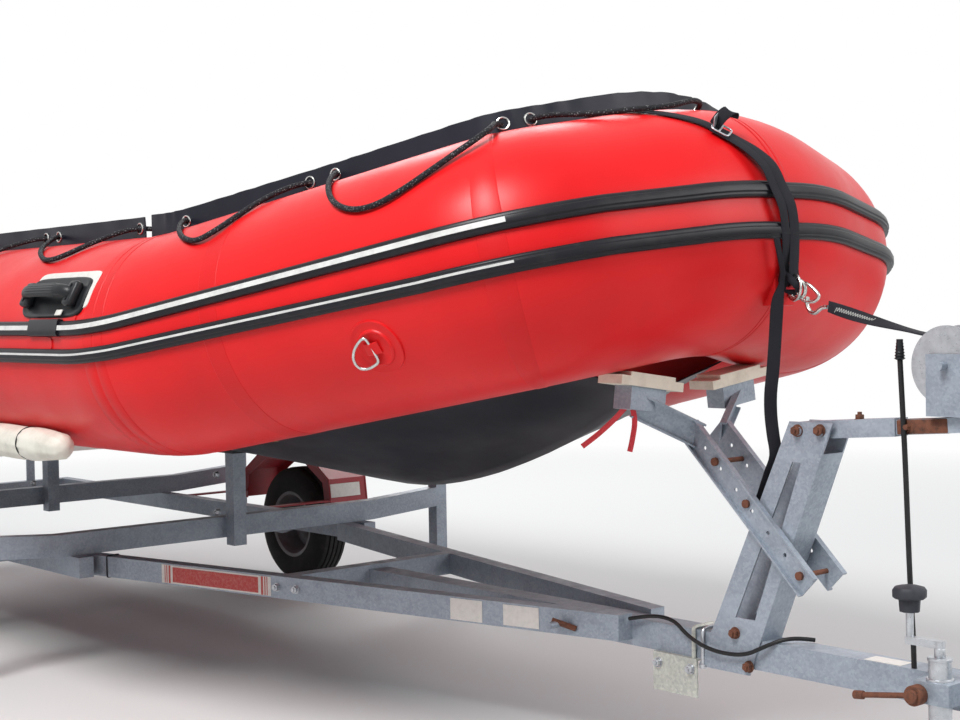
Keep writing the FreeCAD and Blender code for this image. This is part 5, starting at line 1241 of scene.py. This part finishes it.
def bunk_roll():
    """Cloth wrapped round the bunk: folds along it, drawn in at the ties and gathered at its ends."""
    sections = []
    count = 240
    for i in range(count + 1):
        x = BUNK_START + (BUNK_END - BUNK_START) * i / count
        edge = min(x - BUNK_START, BUNK_END - x)
        rounded = math.sqrt(max(0.04, 1 - max(0, 1 - edge / ROUND_END) ** 2))
        rounded *= 1 - 0.30 * max(0, 1 - (BUNK_END - x) / TAPERED_END) ** 1.5
        from_tie = (x - BUNK_TIE + TIE_STEP / 2) % TIE_STEP - TIE_STEP / 2
        row = []
        for k in range(OUTLINE):
            turn = math.tau * k / OUTLINE
            fold = FOLD * math.sin(3 * turn + 7 * x) * math.sin(13 * x)
            fold += CREASE * math.sin(9 * turn - 23 * x)
            drawn = (DRAWN + DRAWN_UNEVEN * math.sin(11 * turn)) * math.exp(-(from_tie / DRAWN_REACH) ** 2)
            overlap = OVERLAP if 3.6 < turn < 5.2 else 0
            radius = (BUNK_RADIUS + fold + overlap - drawn) * rounded
            row.append(Vector((x, BUNK_Y + radius * math.cos(turn), BUNK_Z + radius * math.sin(turn))))
        sections.append(row)
    return loft(sections)


roll = bunk_roll()
for side, piece in (("starboard", roll), ("port", twin(roll))):
    dressed(piece, "bunk_%s_roll" % side, BUNK, replaces=["bunk_" + side], angle=60)
ties = [ring((BUNK_TIE + TIE_STEP * i, BUNK_Y, BUNK_Z), (1, 0, 0), BUNK_RADIUS - 0.002, 0.0022, 40, 8)
        for i in range(8)]
dressed(both_sides(ties), "bunk_ties", CABLE, angle=60)

# Wheels, from (offset along the axle, radius)

AXLE_X, WHEEL_Y, WHEEL_Z = -1.370, 0.976, 0.245
TYRE_HALF = ((0.0585, 0.131), (0.0690, 0.150), (0.0722, 0.172), (0.0722, 0.192), (0.0690, 0.212),
             (0.0600, 0.231), (0.0520, 0.2405), (0.0370, 0.2440), (0.0358, 0.2370), (0.0312, 0.2370),
             (0.0300, 0.2446), (0.0140, 0.2450), (0.0128, 0.2375), (0.0082, 0.2375), (0.0070, 0.2450))
TYRE_PROFILE = both_halves(TYRE_HALF) + [(0.045, 0.126), (-0.045, 0.126)]
RIM_PROFILE = ((-0.062, 0.143), (-0.059, 0.130), (-0.045, 0.124), (0, 0.116), (0.045, 0.124),
               (0.059, 0.130), (0.062, 0.143), (0.066, 0.141), (0.063, 0.128), (0.049, 0.120),
               (0.034, 0.113), (0.030, 0.100), (0.026, 0.080), (0.034, 0.066), (0.042, 0.054),
               (0.042, 0.030), (0.036, 0.030), (0.036, 0.052), (0.028, 0.064), (0.020, 0.080),
               (0.022, 0.104), (-0.045, 0.118), (-0.063, 0.128), (-0.066, 0.141))
HUB_CAP = ((0.028, 0.031), (0.058, 0.031), (0.064, 0.029), (0.068, 0.022), (0.0695, 0.010))
VALVE = ((0.040, 0.118), (0.066, 0.112))


def spokes(count):
    """Directions round the axle."""
    turns = [math.tau * k / count for k in range(count)]
    return [Vector((math.cos(turn), 0, math.sin(turn))) for turn in turns]


def turned(profile, centre, side=1):
    """A closed profile turned about the axle."""
    around = spokes(40)
    return loft([[centre + PORT * (offset * side) + spoke * radius for offset, radius in profile]
                 for spoke in around + around[:1]], capped=False)


for side, name in ((-1, "starboard"), (1, "port")):
    hub = Vector((AXLE_X, WHEEL_Y * side, WHEEL_Z))
    outward = PORT * side
    wheel_body = "wheel_" + name
    dressed(turned(TYRE_PROFILE, hub), "tyre_%s_tread" % name, TYRE, body=wheel_body,
            replaces=["tyre_" + name])
    cap_rings = [[hub + outward * offset + spoke * radius for spoke in spokes(32)]
                 for offset, radius in HUB_CAP]
    rim_parts = [turned(RIM_PROFILE, hub, side), loft(cap_rings)]
    rim_parts += [bolt(hub + outward * 0.041 + spoke * 0.045, outward, 0.017, 0.010, 0.004, washer=False)
                  for spoke in spokes(8)[1::2]]
    valve = [hub + outward * offset + Vector((radius, 0, 0)) for offset, radius in VALVE]
    rim_parts.append(rod(*valve, 0.0045, 12, 0.001))
    dressed(join(rim_parts), "rim_%s_pressed" % name, WHEEL_GREY, body=wheel_body,
            replaces=["rim_" + name])

# Mudguard lips and front plates; lamp lenses

MUDGUARD = ((-1.708, 0.340), (-1.692, 0.462), (-1.535, 0.565), (-1.205, 0.565), (-1.048, 0.462),
            (-1.032, 0.340))
# each corner of a lip is given twice, so that it stays a corner
lips = [bent_wire([(x, y, z - 0.002) for x, z in MUDGUARD for _ in (0, 1)], 0.0042)
        for y in (-1.068, -0.882)]
dressed(both_sides(lips), "mudguard_lips", GUARD, angle=60)
slope = directions((0, 1, 0), (1, 0, 0.13))
plate = block((-1.0365, -0.958, 0.414), (0.150, 0.056, 0.003), slope, 0.0012)
dressed(both_sides([plate]), "mudguard_plates", LABEL_WHITE)
for colour, lens, y, width in (("red", LENS_RED, -0.700, 0.110), ("amber", LENS_AMBER, -0.606, 0.060)):
    glass = block((-2.8795, y, 0.575), (0.006, width, 0.102), None, 0.0025)
    dressed(both_sides([glass]), "lamp_lenses_" + colour, lens)
board_screws = [bolt((-2.850, y, z), (-1, 0, 0), 0.010, 0.004, 0)
                for y in (-0.42, 0.42) for z in (0.535, 0.615)]
dressed(join(board_screws), "board_screws", BRIGHT_ZINC)

# The label on the starboard beam, tape patches and the sticker on the drawbar

BEAM_START, BEAM_END = Vector((-0.450, -0.543, 0.343)), Vector((1.560, -0.085, 0.343))
BEAM_WAY = (BEAM_END - BEAM_START).normalized()
BEAM_OUT = Vector((BEAM_WAY.y, -BEAM_WAY.x, 0))
BEAM_TURN = directions(BEAM_WAY, UP)
LABEL_THICKNESS = 0.001


def on_beam(first, last, low, high, lift):
    """A thin sheet on the outer face of the starboard slant beam."""
    middle = BEAM_START + BEAM_WAY * ((first + last) / 2) + BEAM_OUT * lift
    middle.z = (low + high) / 2
    return block(middle, (last - first, LABEL_THICKNESS, high - low), BEAM_TURN, 0.0003, 1)


LABEL_START, LABEL_STOP, LABEL_LOW, LABEL_HIGH = 0.392, 0.862, 0.3145, 0.3715
label_ground = on_beam(LABEL_START, LABEL_STOP, LABEL_LOW, LABEL_HIGH, 0.0008)
tape_patches = [on_beam(1.530, 1.637, 0.314, 0.372, 0.0008), on_beam(1.706, 1.820, 0.316, 0.371, 0.0008)]
sticker = block((2.305, -0.006, 0.3645), (0.095, 0.046, 0.0008), None, 0.0002, 1)
dressed(join([label_ground, sticker] + tape_patches), "blank_labels", LABEL_WHITE)
reds = [on_beam(LABEL_START + 0.050, LABEL_STOP - 0.052, LABEL_LOW + 0.005, LABEL_HIGH - 0.005, 0.0016)]
for first, last in ((0.014, 0.017), (0.022, 0.026), (0.032, 0.040)):
    for start in (LABEL_START + first, LABEL_STOP - last):
        reds.append(on_beam(start, start + last - first, LABEL_LOW + 0.001, LABEL_HIGH - 0.001, 0.0016))
dressed(join(reds), "label_stripes", LABEL_RED)

# Bolts of the frame

ZINC_BOLTS = ((1.660, -0.047, 0.268), (1.766, -0.047, 0.268), (2.700, -0.036, 0.330),
              (2.780, -0.036, 0.330), (-0.388, -0.052, 0.470), (-0.388, -0.052, 0.600),
              (-1.820, -0.052, 0.470), (-0.438, -0.991, 0.412), (-1.870, -0.991, 0.412))
RUSTY_BOLTS = ((2.092, -0.0405, 0.863), (2.155, -0.0405, 0.866), (1.902, -0.0405, 0.374),
               (1.943, -0.0405, 0.300))
frame_bolts = [bolt(BEAM_START + BEAM_WAY * along, BEAM_OUT, 0.019, 0.010, 0.005)
               for along in (0.886, 0.962)]
frame_bolts += [bolt(place, -PORT, 0.019, 0.010, 0.005) for place in ZINC_BOLTS]
dressed(join(frame_bolts), "frame_bolts", BRIGHT_ZINC, angle=30)
post_bolts = [bolt(place, -PORT, 0.021, 0.011, 0.006) for place in RUSTY_BOLTS]
post_bolts.append(bolt((2.235, -0.004, 0.891), UP, 0.017, 0.010, 0.006))
peg_foot = BEAM_START + BEAM_WAY * 1.935 + Vector((0, 0, -0.014))
peg_head = peg_foot + BEAM_OUT * 0.030 - BEAM_WAY * 0.055 + Vector((0, 0, 0.022))
post_bolts.append(rod(peg_foot, peg_head, 0.0075, 20, 0.0015))
dressed(join(post_bolts), "post_bolts", RUST, angle=30)
U_BOLT_X, U_BOLT_LEG = 1.800, 0.0405
U_BOLT = ((-U_BOLT_LEG, 0.276), (-U_BOLT_LEG, 0.340), (-U_BOLT_LEG, 0.366), (-0.030, 0.3715), (0.0, 0.3715),
          (0.030, 0.3715), (U_BOLT_LEG, 0.366), (U_BOLT_LEG, 0.340), (U_BOLT_LEG, 0.276))
u_bolt = [bent_wire([(U_BOLT_X, y, z) for y, z in U_BOLT], 0.0050)]
u_bolt += [bolt((U_BOLT_X, y, 0.284), -UP, 0.016, 0.008, 0) for y in (-U_BOLT_LEG, U_BOLT_LEG)]
dressed(join(u_bolt), "drawbar_u_bolt", BRIGHT_ZINC, angle=40)

# Rusty inner tube of the winch arm and its pin

ARM_WAY = Vector((1, 0, 0.0698))
arm_skin = block((2.405, 0, 0.8844), (0.128, 0.0414, 0.0334), directions(ARM_WAY, UP), 0.003)
arm_pin = rod((2.372, -0.034, 0.882), (2.372, 0.034, 0.882), 0.006, 16, 0.001)
dressed(join([arm_skin, arm_pin]), "arm_rust", RUST)

# Jack: knob of the crank, collars of the tube, and the rusty boss of the clamp with its handle

KNOB = ((0.500, 0.010), (0.500, 0.0205), (0.512, 0.0215), (0.526, 0.0225), (0.5275, 0.0310), (0.531, 0.0350),
        (0.545, 0.0355), (0.5515, 0.0310), (0.5545, 0.020), (0.5555, 0.005))
JACK_X, JACK_Y = 2.490, -0.090
COLLARS = (
    # low, high, radius, sides, broken edge
    (0.407, 0.414, 0.0262, 36, 0.0012), (0.360, 0.371, 0.0285, 36, 0.0015), (0.414, 0.433, 0.0115, 24, 0.001))
CLAMP_HANDLE = (
    # start, end, radius, sides, broken edge
    ((2.462, -0.122, 0.338), (2.462, -0.150, 0.338), 0.0215, 28, 0.003),
    ((2.462, -0.150, 0.338), (2.462, -0.160, 0.338), 0.0150, 28, 0.003),
    ((2.462, -0.142, 0.338), (2.326, -0.148, 0.318), 0.0062, 16, 0.001),
    ((2.342, -0.148, 0.320), (2.318, -0.148, 0.317), 0.0095, 16, 0.002))
knob = turned_upright(2.418, JACK_Y, KNOB, 64, flutes=0.0006)
dressed(knob, "crank_knob", PLASTIC_DARK, angle=40)
collars = [rod((JACK_X, JACK_Y, low), (JACK_X, JACK_Y, high), *shape) for low, high, *shape in COLLARS]
dressed(join(collars), "jack_collar", BRIGHT_ZINC)
dressed(join([rod(*bar) for bar in CLAMP_HANDLE]), "clamp_handle", RUST)

# Red ribbon round the head of the starboard arm, and black ties on the slant beam

RIBBONS = ([(1.712, -0.196, 1.002), (1.716, -0.199, 0.960), (1.722, -0.197, 0.925), (1.730, -0.194, 0.880),
            (1.728, -0.200, 0.838), (1.722, -0.204, 0.806)],
           [(1.722, -0.197, 0.925), (1.700, -0.206, 0.902), (1.676, -0.210, 0.880), (1.640, -0.226, 0.846),
            (1.604, -0.246, 0.815)])
ribbon_parts = []
for points in RIBBONS:
    line = smooth_points(points, 4)
    table = [(place, Vector((0.62, -0.72, 0.1 * math.sin(i * 0.6)))) for i, place in enumerate(line)]
    ribbon_parts.append(strap(table, 0.013, 0.0014))
ribbon_parts.append(ring((1.7215, -0.198, 0.925), (0.2, 0.1, 1), 0.007, 0.0045, 20, 8))
dressed(join(ribbon_parts), "arm_ribbon", RIBBON, angle=40)
TIE_HALF = 0.035
beam_ties = []
for along in (-0.020, 0.135):
    middle = BEAM_START + BEAM_WAY * along
    outside, inside = middle + BEAM_OUT * 0.0022, middle - BEAM_OUT * 0.0505
    corners = [(outside, TIE_HALF), (outside, -TIE_HALF), (inside, -TIE_HALF), (inside, TIE_HALF)]
    loop = []
    for (place, height), (following, next_height) in zip(corners, corners[1:] + corners[:1]):
        for share in (0.06, 0.5, 0.94):
            rise = height + (next_height - height) * share
            loop.append(place.lerp(following, share) + UP * rise)
    beam_ties.append(bent_wire(loop, 0.0022, cyclic=True))
dressed(join(beam_ties), "beam_ties", CABLE, angle=60)

# Floor, lamps and room

bpy.ops.object.select_all(action="DESELECT")
bpy.ops.mesh.primitive_plane_add(size=60)
ground = bpy.context.object
ground.name = "ground"


def white_for_camera(tree, share, plain, kind, output):
    """Mixes the plain look with white of strength 1, as far as share says."""
    white = tree.nodes.new(kind)
    white.inputs["Color"].default_value = (1, 1, 1, 1)
    white.inputs["Strength"].default_value = 1
    blend = tree.nodes.new("ShaderNodeMixShader")
    tree.links.new(share, blend.inputs["Fac"])
    tree.links.new(plain, blend.inputs[1])
    tree.links.new(white.outputs[0], blend.inputs[2])
    tree.links.new(blend.outputs["Shader"], tree.nodes[output].inputs["Surface"])


def worked_out(tree, operation, first, second):
    node = tree.nodes.new("ShaderNodeMath")
    node.operation = operation
    tree.links.new(first, node.inputs[0])
    tree.links.new(second, node.inputs[1])
    return node.outputs["Value"]


FADE_START, FADE_END = 2.6, 8.5


def pale_ground():
    """Matt floor that keeps the shadow; far from the boat the camera sees plain white."""
    material, tree, shader = new_finish("ground_pale", 0.9)
    shader.inputs["Base Color"].default_value = (0.74, 0.74, 0.73, 1)
    source = tree.nodes.new("ShaderNodeTexCoord")
    length = tree.nodes.new("ShaderNodeVectorMath")
    length.operation = "LENGTH"
    tree.links.new(source.outputs["Object"], length.inputs[0])
    far = tree.nodes.new("ShaderNodeMapRange")
    far.inputs["From Min"].default_value = FADE_START
    far.inputs["From Max"].default_value = FADE_END
    tree.links.new(length.outputs["Value"], far.inputs["Value"])
    rays = tree.nodes.new("ShaderNodeLightPath")
    share = worked_out(tree, "MULTIPLY", far.outputs["Result"], rays.outputs["Is Camera Ray"])
    white_for_camera(tree, share, shader.outputs["BSDF"], "ShaderNodeEmission", "Material Output")
    return material


ground.data.materials.append(pale_ground())


def lamp(name, place, target, size, power):
    data = bpy.data.lights.new(name, "AREA")
    data.shape = "DISK"
    data.size = size
    data.energy = power
    thing = bpy.data.objects.new(name, data)
    bpy.context.scene.collection.objects.link(thing)
    thing.location = place
    thing.rotation_mode = "QUATERNION"
    thing.rotation_quaternion = (Vector(target) - Vector(place)).to_track_quat("-Z", "Y")


lamp("key", (2.5, -5.0, 6.5), (0.3, 0, 0.8), 3.0, 620)
lamp("fill", (6.5, 2.5, 3.5), (0.8, 0, 0.8), 4.0, 160)
lamp("rim", (-4.5, 4.5, 5.0), (0, 0, 0.8), 4.0, 220)


def pale_world():
    """Soft sky light; the camera, gloss and glass see a white room."""
    world = bpy.data.worlds.new("room")
    bpy.context.scene.world = world
    world.use_nodes = True
    tree = world.node_tree
    sky = tree.nodes["Background"]
    sky.inputs["Color"].default_value = (0.80, 0.84, 0.90, 1)
    sky.inputs["Strength"].default_value = 0.42
    rays = tree.nodes.new("ShaderNodeLightPath")
    seen = rays.outputs["Is Camera Ray"]
    for other in ("Is Glossy Ray", "Is Transmission Ray"):
        seen = worked_out(tree, "MAXIMUM", seen, rays.outputs[other])
    white_for_camera(tree, seen, sky.outputs["Background"], "ShaderNodeBackground", "World Output")


pale_world()
bpy.context.scene.view_settings.view_transform = "Standard"
